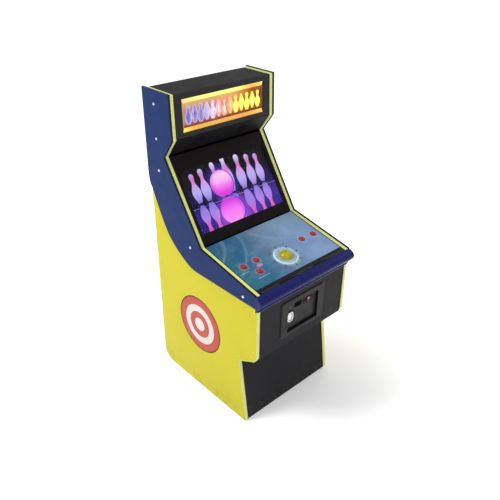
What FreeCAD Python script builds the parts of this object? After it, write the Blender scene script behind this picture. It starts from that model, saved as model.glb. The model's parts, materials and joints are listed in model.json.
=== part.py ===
import FreeCAD, Part
import Sketcher
import math
import os

# Upright trackball arcade cabinet. Millimetres, +X to the player's right, the
# front faces -Y, +Z up, origin on the floor under the middle of the cabinet.

V = FreeCAD.Vector
doc = FreeCAD.newDocument("arcade_cabinet")
sheet = doc.addObject("Spreadsheet::Sheet", "dims")

DIMS = [
    # shell
    ("half_in", 311.0), ("half_out", 330.0), ("board", 19.0), ("overlay_board", 12.0),
    ("thin_board", 12.0), ("trim_rise", 3.0), ("back_edge", 418.0), ("overlay_back", 425.0),
    ("top_edge", 1667.0), ("overlay_top", 1671.0), ("panel_foot", 4.0), ("rear_round", 75.0),
    # side profile, on the crown of the edge trim
    ("brow_top_y", 215.0), ("brow_low_y", 208.0), ("brow_low_z", 1449.0),
    ("notch_y", 282.0), ("notch_z", 1349.0), ("sill_y", 18.0), ("sill_z", 945.0),
    ("lip_y", -380.0), ("lip_z", 866.0), ("front_y", -388.0), ("box_low_z", 470.0),
    ("knee_y", -259.0), ("knee_z", 400.0), ("toe_y", -315.0),
    # nose
    ("nose_back", -386.0), ("nose_tip", -425.0), ("nose_low", 777.0), ("nose_high", 865.5),
    ("nose_half", 342.0),
    # marquee and speakers
    ("window_half", 263.0), ("window_low", 27.0), ("window_high", 187.0),
    ("acrylic", 3.0), ("speaker_x", 150.0), ("speaker_rad", 40.0), ("shelf_z", 1452.0),
    # display
    ("bezel_thick", 5.0), ("picture_half", 288.0), ("picture_low", 63.0), ("picture_high", 395.0),
    ("glass_thick", 3.0), ("display_half", 300.0), ("display_deep", 40.0),
    # control panel
    ("plate_half", 308.0), ("plate_thick", 2.5), ("plate_back", -3.0), ("plate_front", -398.0),
    ("ball_rad", 38.1), ("ball_s", -271.0), ("ball_n", -10.0), ("ring_out", 66.5), ("ring_in", 36.6),
    ("roller_rad", 5.0), ("shaft_rad", 2.5), ("housing_half", 64.0),
    ("rim_rad", 16.5), ("barrel_rad", 13.8), ("plunger_rad", 12.2), ("plunger_bore", 12.6),
    ("press", 3.5), ("knuckle_rad", 3.2), ("hinge_pin_rad", 1.6), ("knuckle_bore", 1.65),
    # coin door
    ("coin_face", -384.0), ("door_face", -376.0), ("door_left", -115.0), ("door_right", 105.5),
    ("door_low", 547.0), ("door_high", 705.0), ("flange_face", -390.0),
    # rear
    ("rear_low", 452.0), ("rear_high", 1186.0), ("rear_board", 15.0), ("base_z", 100.0),
    ("wheel_rad", 37.5), ("wheel_wide", 28.0), ("wheel_y", 378.0), ("wheel_z", 54.0), ("axle_rad", 5.0),
    ("wheel_x", 268.0), ("foot_rad", 20.0), ("foot_x", 272.0), ("foot_front_y", -262.0), ("foot_rear_y", 290.0),
]
for i, (alias, number) in enumerate(DIMS):
    sheet.set("A%d" % (i + 1), alias)
    sheet.set("B%d" % (i + 1), "%g" % number)
    sheet.setAlias("B%d" % (i + 1), alias)
doc.recompute()
NUM = dict(DIMS)


class Q:
    """A number that remembers the spreadsheet expression it came from."""

    def __init__(self, number, text):
        self.n = float(number)
        self.t = text

    def __add__(self, o):
        o = q(o)
        return Q(self.n + o.n, "(%s + %s)" % (self.t, o.t))

    __radd__ = __add__

    def __sub__(self, o):
        o = q(o)
        return Q(self.n - o.n, "(%s - %s)" % (self.t, o.t))

    def __rsub__(self, o):
        return q(o) - self

    def __mul__(self, o):
        o = q(o)
        return Q(self.n * o.n, "(%s * %s)" % (self.t, o.t))

    __rmul__ = __mul__

    def __neg__(self):
        return Q(-self.n, "(0 - %s)" % self.t)


def q(o):
    if isinstance(o, Q):
        return o
    return Q(o, "%.6f" % o if o >= 0 else "(%.6f)" % o)


def d(alias):
    return Q(NUM[alias], "dims." + alias)


def bind(obj, prop, val):
    if isinstance(val, Q):
        obj.setExpression(prop, val.t)


PARTS = []


def keep(obj, label):
    obj.Label = label
    PARTS.append(obj)
    return obj


# ---------------------------------------------------------------- frames
# Each sloping face has a frame: X across, Y up the slope, Z out of the face.
def slope(lower, upper):
    return math.degrees(math.atan2(upper[1] - lower[1], upper[0] - lower[0]))


P1 = (NUM["brow_top_y"], NUM["top_edge"])
P2 = (NUM["brow_low_y"], NUM["brow_low_z"])
P3 = (NUM["notch_y"], NUM["notch_z"])
P4 = (NUM["sill_y"], NUM["sill_z"])
P5 = (NUM["lip_y"], NUM["lip_z"])
FRAMES = {
    "marquee": (d("brow_low_y"), d("brow_low_z"), slope(P2, P1)),
    "speaker": (d("notch_y"), d("notch_z"), slope(P3, P2)),
    "screen": (d("sill_y"), d("sill_z"), slope(P4, P3)),
    "control": (d("sill_y"), d("sill_z"), slope(P5, P4)),
    "coin": (d("coin_face"), q(0.0), 90.0),
    "floor": (q(0.0), q(0.0), 0.0),
}


def place(obj, frame, x=0.0, s=0.0, n=0.0, extra=None):
    """Put obj at (x, s up the slope, n out of the face) of a frame."""
    y0, z0, tilt = FRAMES[frame]
    c, sn = math.cos(math.radians(tilt)), math.sin(math.radians(tilt))
    yy = y0 + q(s) * c - q(n) * sn
    zz = z0 + q(s) * sn + q(n) * c
    rot = FreeCAD.Rotation(V(1, 0, 0), tilt)
    if extra is not None:
        rot = rot.multiply(extra)
    xx = q(x)
    obj.Placement = FreeCAD.Placement(V(xx.n, yy.n, zz.n), rot)
    for axis, val in (("x", xx), ("y", yy), ("z", zz)):
        obj.setExpression(".Placement.Base." + axis, val.t)
    return obj


def in_frame(frame, x=0.0, s=0.0, n=0.0):
    """The same point as a vector of numbers."""
    y0, z0, tilt = FRAMES[frame]
    c, sn = math.cos(math.radians(tilt)), math.sin(math.radians(tilt))
    s, n, x = q(s).n, q(n).n, q(x).n
    return V(x, y0.n + s * c - n * sn, z0.n + s * sn + n * c)


# ---------------------------------------------------------------- sketches
def origin_plane(body, role):
    for f in body.Origin.OriginFeatures:
        if f.Role == role:
            return f
    raise RuntimeError("no plane " + role)


def new_body(name):
    b = doc.addObject("PartDesign::Body", name)
    if hasattr(b, "AllowCompound"):
        b.AllowCompound = True
    return b


def new_sketch(body, role="XY_Plane", name="sketch"):
    sk = body.newObject("Sketcher::SketchObject", name)
    sk.AttachmentSupport = [(origin_plane(body, role), "")]
    sk.MapMode = "FlatFace"
    return sk


def rect(sk, x0, y0, x1, y1):
    """A rectangle whose four sides follow the sheet."""
    x0, y0, x1, y1 = q(x0), q(y0), q(x1), q(y1)
    pts = [V(x0.n, y0.n, 0), V(x1.n, y0.n, 0), V(x1.n, y1.n, 0), V(x0.n, y1.n, 0)]
    g = [sk.addGeometry(Part.LineSegment(pts[i], pts[(i + 1) % 4]), False) for i in range(4)]
    for i in range(4):
        sk.addConstraint(Sketcher.Constraint("Coincident", g[i], 2, g[(i + 1) % 4], 1))
    for i, kind in ((0, "Horizontal"), (1, "Vertical"), (2, "Horizontal"), (3, "Vertical")):
        sk.addConstraint(Sketcher.Constraint(kind, g[i]))
    for kind, geo, val in (("DistanceX", g[0], x0), ("DistanceY", g[0], y0),
                           ("DistanceX", g[2], x1), ("DistanceY", g[2], y1)):
        i = sk.addConstraint(Sketcher.Constraint(kind, -1, 1, geo, 1, val.n))
        if "dims." in val.t:
            sk.setExpression("Constraints[%d]" % i, val.t)


def circle(sk, cx, cy, rad):
    cx, cy, rad = q(cx), q(cy), q(rad)
    g = sk.addGeometry(Part.Circle(V(cx.n, cy.n, 0), V(0, 0, 1), rad.n), False)
    i = sk.addConstraint(Sketcher.Constraint("Radius", g, rad.n))
    if "dims." in rad.t:
        sk.setExpression("Constraints[%d]" % i, rad.t)
    for kind, val in (("DistanceX", cx), ("DistanceY", cy)):
        i = sk.addConstraint(Sketcher.Constraint(kind, -1, 1, g, 3, val.n))
        if "dims." in val.t:
            sk.setExpression("Constraints[%d]" % i, val.t)


def loop(sk, pts, pinned=True):
    """A closed outline. An item is a point (a, b), with numbers or sheet values,
    or ("arc", (mid), (end)) or ("spline", [points], start_tangent, end_tangent)."""
    ends, curves, turns = [], [], []
    last = pts[0]
    for item in pts[1:] + [pts[0]]:
        a = V(q(last[0]).n, q(last[1]).n, 0)
        if isinstance(item[0], str) and item[0] == "arc":
            m, e = item[1], item[2]
            mv, ev = V(q(m[0]).n, q(m[1]).n, 0), V(q(e[0]).n, q(e[1]).n, 0)
            flip = (mv - a).cross(ev - mv).z < 0
            curves.append(Part.Arc(ev, mv, a) if flip else Part.Arc(a, mv, ev))
            turns.append((2, 1) if flip else (1, 2))
            last = e
        elif isinstance(item[0], str) and item[0] == "spline":
            bs = Part.BSplineCurve()
            run = [a] + [V(q(p[0]).n, q(p[1]).n, 0) for p in item[1]]
            bs.interpolate(Points=run, InitialTangent=V(*item[2], 0), FinalTangent=V(*item[3], 0))
            curves.append(bs)
            turns.append((1, 2))
            last = item[1][-1]
        else:
            b = V(q(item[0]).n, q(item[1]).n, 0)
            if (a - b).Length > 1e-6:
                curves.append(Part.LineSegment(a, b))
                turns.append((1, 2))
            last = item
        ends.append(last)
    g = [sk.addGeometry(c, False) for c in curves]
    count = len(g)
    for i in range(count):
        j = (i + 1) % count
        sk.addConstraint(Sketcher.Constraint("Coincident", g[i], turns[i][1], g[j], turns[j][0]))
    if pinned:
        corners = [pts[0]] + ends[:count - 1]
        for i in range(count):
            for kind, val in (("DistanceX", q(corners[i][0])), ("DistanceY", q(corners[i][1]))):
                k = sk.addConstraint(Sketcher.Constraint(kind, -1, 1, g[i], turns[i][0], val.n))
                if "dims." in val.t:
                    sk.setExpression("Constraints[%d]" % k, val.t)


def pad(body, sk, length):
    p = body.newObject("PartDesign::Pad", "Pad")
    p.Profile = sk
    length = q(length)
    p.Length = length.n
    if "dims." in length.t:
        p.setExpression("Length", length.t)
    body.Tip = p
    return p


def pocket(body, sk, length, reverse=False):
    doc.recompute()
    before = body.Shape.Volume
    p = body.newObject("PartDesign::Pocket", "Pocket")
    p.Profile = sk
    p.Length = q(length).n
    p.Reversed = reverse
    if "dims." in q(length).t:
        p.setExpression("Length", q(length).t)
    body.Tip = p
    doc.recompute()
    if body.Shape.Volume > before - 1e-3:
        raise RuntimeError("%s: a pocket removed nothing" % body.Name)
    return p


def prism(name, pts, x0, length, pinned=True, holes=()):
    """A board whose outline lies in the side view, extruded across."""
    b = new_body(name)
    sk = new_sketch(b, "YZ_Plane", name + "_side")
    loop(sk, pts, pinned)
    for hole in holes:
        loop(sk, hole, False)
    pad(b, sk, length)
    x0 = q(x0)
    b.Placement = FreeCAD.Placement(V(x0.n, 0, 0), FreeCAD.Rotation())
    b.setExpression(".Placement.Base.x", x0.t)
    return b


def plate(name, frame, box, n_low, thick, rects=(), circles=(), loops=(), outline=None):
    """A flat plate lying in a frame, with cut-outs."""
    b = new_body(name)
    sk = new_sketch(b, "XY_Plane", name + "_face")
    if outline is not None:
        loop(sk, outline)
    else:
        rect(sk, *box)
    for r in rects:
        rect(sk, *r)
    for c in circles:
        circle(sk, *c)
    for l in loops:
        loop(sk, l, False)
    pad(b, sk, thick)
    place(b, frame, 0.0, 0.0, n_low)
    return b


def turned(name, profile, frame="floor", x=0.0, s=0.0, n=0.0, extra=None):
    """A turned piece: profile points are (radius, height) about its own Z."""
    b = new_body(name)
    sk = new_sketch(b, "XZ_Plane", name + "_profile")
    loop(sk, profile)
    r = b.newObject("PartDesign::Revolution", "Revolution")
    r.Profile = sk
    r.ReferenceAxis = (sk, ["V_Axis"])
    r.Angle = 360.0
    b.Tip = r
    place(b, frame, x, s, n, extra)
    return b


def box(name, frame, lo, hi):
    """A Part::Box between two corners of a frame."""
    o = doc.addObject("Part::Box", name)
    lo = [q(v) for v in lo]
    hi = [q(v) for v in hi]
    for prop, a, b in (("Length", lo[0], hi[0]), ("Width", lo[1], hi[1]), ("Height", lo[2], hi[2])):
        setattr(o, prop, (b - a).n)
        if "dims." in (b - a).t:
            o.setExpression(prop, (b - a).t)
    place(o, frame, lo[0], lo[1], lo[2])
    return o


def cyl(name, frame, x, s, n, rad, height, extra=None):
    o = doc.addObject("Part::Cylinder", name)
    rad, height = q(rad), q(height)
    o.Radius, o.Height = rad.n, height.n
    for prop, val in (("Radius", rad), ("Height", height)):
        if "dims." in val.t:
            o.setExpression(prop, val.t)
    place(o, frame, x, s, n, extra)
    return o


def cut(name, base, *tools):
    last = base
    for i, t in enumerate(tools):
        c = doc.addObject("Part::Cut", name if i == len(tools) - 1 else name + "_c%d" % i)
        c.Base, c.Tool = last, t
        last = c
    return last


def fuse(name, *shapes):
    f = doc.addObject("Part::MultiFuse", name)
    f.Shapes = list(shapes)
    f.Refine = True
    return f


def group(name, *shapes):
    f = doc.addObject("Part::Compound", name)
    f.Links = list(shapes)
    return f


def copies(name, obj, placements):
    """A group of equal fasteners: obj's own shape repeated."""
    doc.recompute()
    f = doc.addObject("Part::Feature", name)
    made = []
    for p in placements:
        s = obj.Shape.copy()
        s.Placement = p.multiply(s.Placement)
        made.append(s)
    f.Shape = Part.makeCompound(made)
    return f


ALONG_X = FreeCAD.Rotation(V(0, 1, 0), 90)      # own Z turned to +X
ALONG_Y = FreeCAD.Rotation(V(1, 0, 0), -90)     # own Z turned to +Y


# ---------------------------------------------------------------- side profile
def shift(run, dist):
    """Offset an open polyline to its right by dist, with mitred corners."""
    out = []
    norms = []
    for a, b in zip(run, run[1:]):
        dy, dz = b[0] - a[0], b[1] - a[1]
        length = math.hypot(dy, dz)
        norms.append((dz / length, -dy / length))
    for i, p in enumerate(run):
        n0 = norms[max(0, i - 1)]
        n1 = norms[min(len(norms) - 1, i)]
        k = dist / (1 + n0[0] * n1[0] + n0[1] * n1[1])
        out.append((p[0] + (n0[0] + n1[0]) * k, p[1] + (n0[1] + n1[1]) * k))
    return out


BACK, TOP, FRONT = NUM["back_edge"], NUM["top_edge"], NUM["front_y"]
UNDER = (NUM["knee_y"] - FRONT, NUM["knee_z"] - NUM["box_low_z"])
UL = math.hypot(*UNDER)
LEG = (NUM["toe_y"] - NUM["knee_y"], NUM["panel_foot"] - NUM["knee_z"])
LL = math.hypot(*LEG)
upper_crown = [(BACK, TOP), P1, P2, P3, P4, P5, (NUM["nose_back"], P5[1] + (NUM["nose_back"] - P5[0]) * 0.1956)]
lower_crown = [(FRONT, NUM["nose_low"] - 0.6), (FRONT, NUM["box_low_z"] + 17),
               (FRONT + UNDER[0] / UL * 16, NUM["box_low_z"] + UNDER[1] / UL * 16),
               (NUM["knee_y"], NUM["knee_z"]),
               (NUM["toe_y"] - LEG[0] / LL * 6, NUM["panel_foot"] - LEG[1] / LL * 6),
               (NUM["toe_y"] + 5, NUM["panel_foot"])]
rise = NUM["trim_rise"]
# the run goes from the back over the top to the front, so the board is on its left
upper_edge = shift(upper_crown, -rise)
lower_edge = shift(lower_crown, -rise)
upper_edge[0] = (BACK, TOP - rise)
upper_edge[-1] = (NUM["nose_back"], upper_edge[-2][1] + (NUM["nose_back"] - upper_edge[-2][0]) * 0.1956)
lower_edge[-1] = (lower_edge[-1][0], NUM["panel_foot"])
R0 = NUM["rear_round"]
F0 = NUM["panel_foot"]
r45 = R0 * (1 - math.sqrt(0.5))
side_outline = [(d("back_edge"), d("top_edge") - d("trim_rise"))] + upper_edge[1:] + \
    [(d("nose_back"), lower_edge[0][1])] + lower_edge[:] + \
    [(BACK - R0, d("panel_foot")), ("arc", (BACK - r45, F0 + r45), (d("back_edge"), d("panel_foot") + d("rear_round")))]


for side, name in ((-1, "left"), (1, "right")):
    x0 = -d("half_out") if side < 0 else d("half_in")
    keep(prism(name + "_side_panel", side_outline, x0, d("board")), name + "_side_panel")

# edge trim: one run over the top to the nose, one run below it
up_strip = upper_crown + upper_edge[::-1]
low_strip = lower_crown + lower_edge[::-1]
for side, name in ((-1, "left"), (1, "right")):
    x0 = -d("half_out") if side < 0 else d("half_in")
    a = prism(name + "_trim_upper", up_strip, x0, d("board"), False)
    b = prism(name + "_trim_lower", low_strip, x0, d("board"), False)
    keep(group(name + "_edge_trim", a, b), name + "_edge_trim")

# blue overlays: same front as the trim, swept away at the back
ov_front = shift(upper_crown, 2.0)
ov_line = [(d("overlay_back"), d("overlay_top")), (ov_front[1][0], d("overlay_top"))] + ov_front[2:-1] + \
    [(d("nose_back"), ov_front[-1][1]), (d("nose_back"), 799.0), (62.0, 795.0),
     ("spline", [(135.0, 815.0), (193.0, 850.0), (246.0, 889.0), (291.0, 941.0), (339.0, 1022.0),
                 (376.0, 1099.0), (401.0, 1152.0), (425.0, 1222.0)], (70.0, 4.0), (10.0, 75.0))]
for side, name in ((-1, "left"), (1, "right")):
    x0 = -(d("half_out") + d("overlay_board")) if side < 0 else d("half_out")
    keep(prism(name + "_side_overlay", ov_line, x0, d("overlay_board"), False), name + "_side_overlay")

# ---------------------------------------------------------------- boards
keep(prism("top_panel", [(222.0, d("top_edge") - 17.0), (d("back_edge"), d("top_edge") - 17.0),
                         (d("back_edge"), d("top_edge") - 3.0), (222.0, d("top_edge") - 3.0)],
           -d("half_in"), d("half_in") * 2), "top_panel")
keep(prism("upper_back_panel", [(403.0, 1190.0), (d("back_edge"), 1190.0), (d("back_edge"), 1650.0), (403.0, 1650.0)],
           -d("half_in"), d("half_in") * 2), "upper_back_panel")
keep(prism("base_panel", [(-284.2, d("base_z")), (d("back_edge"), d("base_z")),
                          (d("back_edge"), d("base_z") + d("board")), (-281.5, d("base_z") + d("board"))],
           -d("half_in"), d("half_in") * 2), "base_panel")


def behind(a, b, gap, thick):
    """A board lying gap inside the line a-b, thick deep."""
    outer = shift([a, b], -gap)
    inner = shift([a, b], -gap - thick)
    return outer + inner[::-1]


kick = behind((NUM["knee_y"], NUM["knee_z"]), (NUM["toe_y"], 6.0), 5.0, 12.0)
keep(prism("kick_panel", kick, -d("half_in"), d("half_in") * 2), "kick_panel")
under = behind((FRONT, NUM["box_low_z"]), (NUM["knee_y"], NUM["knee_z"]), 5.0, 12.0)
under[0] = (-371.8, under[0][1] - (-371.8 - under[0][0]) * 70.0 / 129.0)
under[3] = (-371.8, under[3][1] - (-371.8 - under[3][0]) * 70.0 / 129.0)
under[1] = (under[1][0] - 3.0, under[1][1] + 1.63)
under[2] = (under[2][0] - 3.0, under[2][1] + 1.63)
keep(prism("coin_box_floor", under, -d("half_in"), d("half_in") * 2), "coin_box_floor")
keep(plate("coin_panel", "coin", (-d("half_in"), 470.0, d("half_in"), 835.0), -12.0, d("thin_board"),
           rects=[(-120.0, 541.0, 111.0, 711.0)]), "coin_panel")
keep(prism("cash_shelf", [(-252.0, 399.5), (-90.0, 399.5), (-90.0, 411.5), (-252.0, 411.5)], -150.0, 300.0), "cash_shelf")

# lower back panel, with the hole for the power inlet
lb = new_body("lower_back_panel")
sk = new_sketch(lb, "XZ_Plane", "lower_back_face")
rect(sk, -d("half_in"), d("base_z") + d("board"), d("half_in"), d("rear_low") - 4.0)
rect(sk, 176.0, 226.0, 224.0, 294.0)
pad(lb, sk, d("rear_board"))
lb.Placement = FreeCAD.Placement(V(0, 418, 0), FreeCAD.Rotation())
lb.setExpression(".Placement.Base.y", "dims.back_edge")
keep(lb, "lower_back_panel")

# nose: a rounded beam across the front, over the ends of the overlays
nose_line = [(d("nose_back"), d("nose_high")),
             ("spline", [(-402.0, 861.3), (-415.5, 853.0), (-423.6, 841.0), (-424.6, 828.0), (-417.5, 814.0),
                         (-404.0, 799.5), (-393.5, 787.0), (-389.0, 777.0)], (-20.0, -3.6), (3.0, -12.0)),
             (d("nose_back"), d("nose_low"))]
nose = prism("front_nose", nose_line, -d("nose_half"), d("nose_half") * 2, False)
doc.recompute()
ends = []
nose_pad = nose.Tip
for i, e in enumerate(nose_pad.Shape.Edges):
    if abs(e.BoundBox.XLength) < 1e-3 and e.BoundBox.ZLength > 70 and e.BoundBox.YLength > 10:
        ends.append("Edge%d" % (i + 1))
fil = nose.newObject("PartDesign::Fillet", "EndRounds")
fil.Base = (nose_pad, ends)
fil.Radius = 7.0
nose.Tip = fil
doc.recompute()
if "Invalid" in fil.State or fil.Shape.isNull() or not fil.Shape.isValid():
    print("nose ends left square")
    nose.Tip = nose_pad
    doc.removeObject(fil.Name)
    doc.recompute()
keep(nose, "front_nose")

# ---------------------------------------------------------------- marquee and speakers
keep(plate("marquee_frame", "marquee", (-d("half_in"), 2.0, d("half_in"), 215.0), -6.0, 3.0,
           rects=[(-d("window_half"), d("window_low"), d("window_half"), d("window_high"))]), "marquee_frame")
keep(plate("marquee_panel", "marquee", (-d("window_half") - 20.0, d("window_low") - 15.0,
                                        d("window_half") + 20.0, d("window_high") + 12.0),
           -9.0, d("acrylic")), "marquee_panel")
tube = cyl("lamp_tube", "floor", -236.0, 300.0, 1560.0, 13.0, 472.0, ALONG_X)
caps = [cut("lamp_cap_%d" % i, box("lamp_foot_%d" % i, "floor", (x - 13, 282.0, 1538.0), (x + 13, 318.0, 1652.0 - 2.0)),
            cyl("lamp_seat_%d" % i, "floor", (x - 13.5) if x > 0 else (x + 13.5 - 12.0), 300.0, 1560.0, 13.05, 12.0, ALONG_X))
        for i, x in enumerate((-238.0, 238.0))]
keep(group("marquee_lamp", tube, *caps), "marquee_lamp")
keep(prism("marquee_shelf", [(226.0, d("shelf_z")), (402.5, d("shelf_z")), (402.5, d("shelf_z") + 12.0), (226.0, d("shelf_z") + 12.0)],
           -d("half_in"), d("half_in") * 2), "marquee_shelf")
slots = []
for sx in (-1, 1):
    for k in range(7):
        sy = 38.0 + 8.0 * k
        wide = math.sqrt(32.0 ** 2 - (sy - 62.0) ** 2) + 3
        slots.append((sx * NUM["speaker_x"] - wide, sy - 2.0, sx * NUM["speaker_x"] + wide, sy + 2.0))
keep(plate("speaker_panel", "speaker", (-d("half_in"), 5.0, d("half_in"), 119.0), -13.0, 9.0, rects=slots), "speaker_panel")
drivers = []
for i, sx in enumerate((-1, 1)):
    drivers.append(turned("speaker_%d" % i, [(12.0, -15.0), (13.0, -12.0), (34.0, -4.0), (36.0, -1.0), (40.0, -1.0), (40.0, -4.0), (36.0, -5.0),
                                             (22.0, -20.0), (22.0, -33.0), (0.0, -33.0), (0.0, -12.0), (8.0, -11.0)],
                          "speaker", sx * d("speaker_x"), 62.0, -13.0 + 1.0))
keep(group("speakers", *drivers), "speakers")

# ---------------------------------------------------------------- display
keep(plate("screen_bezel", "screen", (-d("half_in"), 4.0, d("half_in"), 478.0), -9.0, d("bezel_thick"),
           rects=[(-d("picture_half"), d("picture_low"), d("picture_half"), d("picture_high"))]), "screen_bezel")
keep(plate("screen_glass", "screen", (-304.0, 24.0, 304.0, 440.0), -12.0, d("glass_thick")), "screen_glass")
chassis = box("display_front", "screen", (-d("display_half"), 46.0, -26.0), (d("display_half"), 412.0, -12.4))
rearbox = box("display_rear", "screen", (-220.0, 90.0, -52.0), (220.0, 370.0, -25.9))
keep(fuse("display_panel", chassis, rearbox), "display_panel")

# ---------------------------------------------------------------- control panel
BUTTONS = [(-242.0, -218.2), (-153.0, -213.1), (-196.0, -285.5), (175.0, -217.2), (262.0, -218.2)]
HINGE_S, HINGE_N = -403.6, 1.0
body_plate = plate("control_sheet", "control", (-d("plate_half"), d("plate_front"), d("plate_half"), d("plate_back")),
                   -2.0 - d("plate_thick"), d("plate_thick"),
                   circles=[(0.0, d("ball_s"), 45.0)] + [(bx, bs, 14.1) for bx, bs in BUTTONS] +
                           [(77.0 * math.cos(math.radians(45 * k)), NUM["ball_s"] + 77.0 * math.sin(math.radians(45 * k)), 2.1) for k in range(8)])
leaf = box("control_leaf", "control", (-300.0, -401.0, -2.05), (300.0, -384.0, -0.8))
knuckles = []
for i, (a, b) in enumerate(((-180.0, -60.0), (60.0, 180.0))):
    k = cyl("control_knuckle_%d" % i, "control", a, HINGE_S, HINGE_N, d("knuckle_rad"), b - a, ALONG_X)
    w = box("control_web_%d" % i, "control", (a, HINGE_S + 1.0, -2.0), (b, -399.0, 0.0))
    knuckles += [k, w]
bores = [cyl("control_bore", "control", -308.0, HINGE_S, HINGE_N, d("knuckle_bore"), 616.0, ALONG_X)]
for i, (a, b) in enumerate(((-308.5, -180.0), (-60.0, 60.0), (180.0, 308.5))):
    bores.append(box("control_relief_%d" % i, "control", (a, HINGE_S - 6.0, -7.0), (b, HINGE_S + 4.0, 6.0)))
control = cut("control_plate", fuse("control_sheet_all", body_plate, leaf, *knuckles), *bores)
keep(control, "control_plate")

ring = turned("trackball_ring", [(d("ring_in") + 1.1, -1.9), (d("ring_in") + 0.3, 1.0), (38.6, 2.6), (46.0, 3.6), (56.0, 3.4), (63.0, 1.9),
                                 (d("ring_out"), -0.9), (d("ring_out"), -1.9)], "control", 0.0, d("ball_s"), 0.0)
keep(ring, "trackball_ring")
ball = doc.addObject("Part::Sphere", "trackball")
ball.Radius = NUM["ball_rad"]
ball.setExpression("Radius", "dims.ball_rad")
place(ball, "control", 0.0, d("ball_s"), d("ball_n"))
keep(ball, "trackball")

BS, BN = NUM["ball_s"], NUM["ball_n"]
# the shafts carry the ball from 30 degrees below its widest circle
REACH = NUM["ball_rad"] + NUM["roller_rad"] + 0.1
RC = REACH * math.cos(math.radians(30.0))
RN = BN - REACH * math.sin(math.radians(30.0))
H = NUM["housing_half"]
case = box("ball_case", "control", (-d("housing_half"), d("ball_s") - d("housing_half"), -62.0),
           (d("housing_half"), d("ball_s") + d("housing_half"), -12.0))
collar = cyl("ball_collar", "control", 0.0, d("ball_s"), -12.5, 44.5, 7.9)
plate_up = cyl("ball_flange", "control", 0.0, d("ball_s"), -6.6, 84.0, 2.0)
well = cyl("ball_well", "control", 0.0, d("ball_s"), -54.0, 40.5, 60.0)
pocket_x = box("pocket_x", "control", (-40.0, BS + RC - 13.5, RN - 13.5), (20.0, BS + RC + 13.5, RN + 13.5))
pocket_y = box("pocket_y", "control", (RC - 13.5, BS - 40.0, RN - 13.5), (RC + 13.5, BS + 20.0, RN + 13.5))
bear_x = cyl("bearing_x", "control", -46.4, BS + RC, RN, 2.56, 77.0, ALONG_X)
bear_y = cyl("bearing_y", "control", RC, BS - 46.4, RN, 2.56, 77.0, ALONG_Y)
screw_holes = [cyl("flange_hole_%d" % k, "control", 77.0 * math.cos(math.radians(45 * k)), BS + 77.0 * math.sin(math.radians(45 * k)), -15.0, 2.1, 14.0) for k in range(8)]
keep(cut("trackball_housing", fuse("ball_case_all", case, collar, plate_up), well, pocket_x, pocket_y, bear_x, bear_y, *screw_holes), "trackball_housing")
for name, extra, x, s in (("cross_roller", ALONG_X, -46.0, BS + RC), ("side_roller", ALONG_Y, RC, BS - 46.0)):
    r = turned(name, [(0.0, 0.0), (d("shaft_rad"), 0.0), (d("shaft_rad"), 14.0), (12.0, 14.0), (12.0, 16.0), (d("shaft_rad"), 16.0),
                      (d("shaft_rad"), 32.0), (d("roller_rad"), 32.0), (d("roller_rad"), 60.0), (d("shaft_rad"), 60.0), (d("shaft_rad"), 76.0), (0.0, 76.0)],
               "control", x, s, RN, extra)
    keep(r, name)


def screw_shape(name, head_r, head_h, shank_r, shank_l):
    """Pan-head screw along its own Z: the head sits above z=0."""
    return turned(name, [(0.0, -shank_l), (shank_r, -shank_l), (shank_r, 0.0), (head_r, 0.0), (head_r, head_h * 0.45),
                         (head_r * 0.72, head_h), (0.0, head_h)])


def frame_place(frame, x, s, n, extra=None):
    rot = FreeCAD.Rotation(V(1, 0, 0), FRAMES[frame][2])
    if extra is not None:
        rot = rot.multiply(extra)
    return FreeCAD.Placement(in_frame(frame, x, s, n), rot)


pan = screw_shape("ring_screw_pattern", 3.9, 2.0, 2.0, 12.0)
keep(copies("ring_screws", pan, [frame_place("control", 77.0 * math.cos(math.radians(45 * k)), BS + 77.0 * math.sin(math.radians(45 * k)), -2.0) for k in range(8)]), "ring_screws")

# push-buttons: threaded barrel with its nut, plunger, return spring, switch
barrel = turned("button_barrel", [(d("plunger_bore"), -24.0), (d("plunger_bore"), 3.6), (13.4, 4.3), (15.6, 4.3), (d("rim_rad"), 3.2), (d("rim_rad"), 0.0),
                                  (d("barrel_rad"), 0.0), (d("barrel_rad"), -2.6), (19.0, -2.6), (19.0, -10.6), (d("barrel_rad"), -10.6),
                                  (d("barrel_rad"), -30.0), (5.0, -30.0), (5.0, -24.0)])
keep(copies("button_housings", barrel, [frame_place("control", bx, bs, -2.0) for bx, bs in BUTTONS]), "button_housings")
plunger_line = [(0.0, -34.6), (4.4, -34.6), (4.4, -12.0), (d("plunger_rad"), -12.0), (d("plunger_rad"), 6.6), (11.4, 7.8), (10.0, 8.2),
                ("arc", (5.0, 7.2), (0.0, 6.9))]
for i, (bx, bs) in enumerate(BUTTONS):
    p = turned("button_%d" % (i + 1), plunger_line, "control", bx, bs, -2.0)
    keep(p, "button_%d" % (i + 1))
coil_path = Part.makeHelix(2.3, 10.3, 9.0)
eight = [V(9.0 + 0.6 * math.cos(math.pi * (k + 0.5) / 4), 0, 0.6 * math.sin(math.pi * (k + 0.5) / 4)) for k in range(8)]
coil_wire = Part.makePolygon(eight + eight[:1])
coil = Part.Wire(coil_path.Edges).makePipeShell([coil_wire], True, True)
spring = doc.addObject("Part::Feature", "spring_pattern")
spring.Shape = coil
spring.Placement = FreeCAD.Placement(V(0, 0, -23.3), FreeCAD.Rotation())
keep(copies("button_springs", spring, [frame_place("control", bx, bs, -2.0) for bx, bs in BUTTONS]), "button_springs")
switches = []
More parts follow.
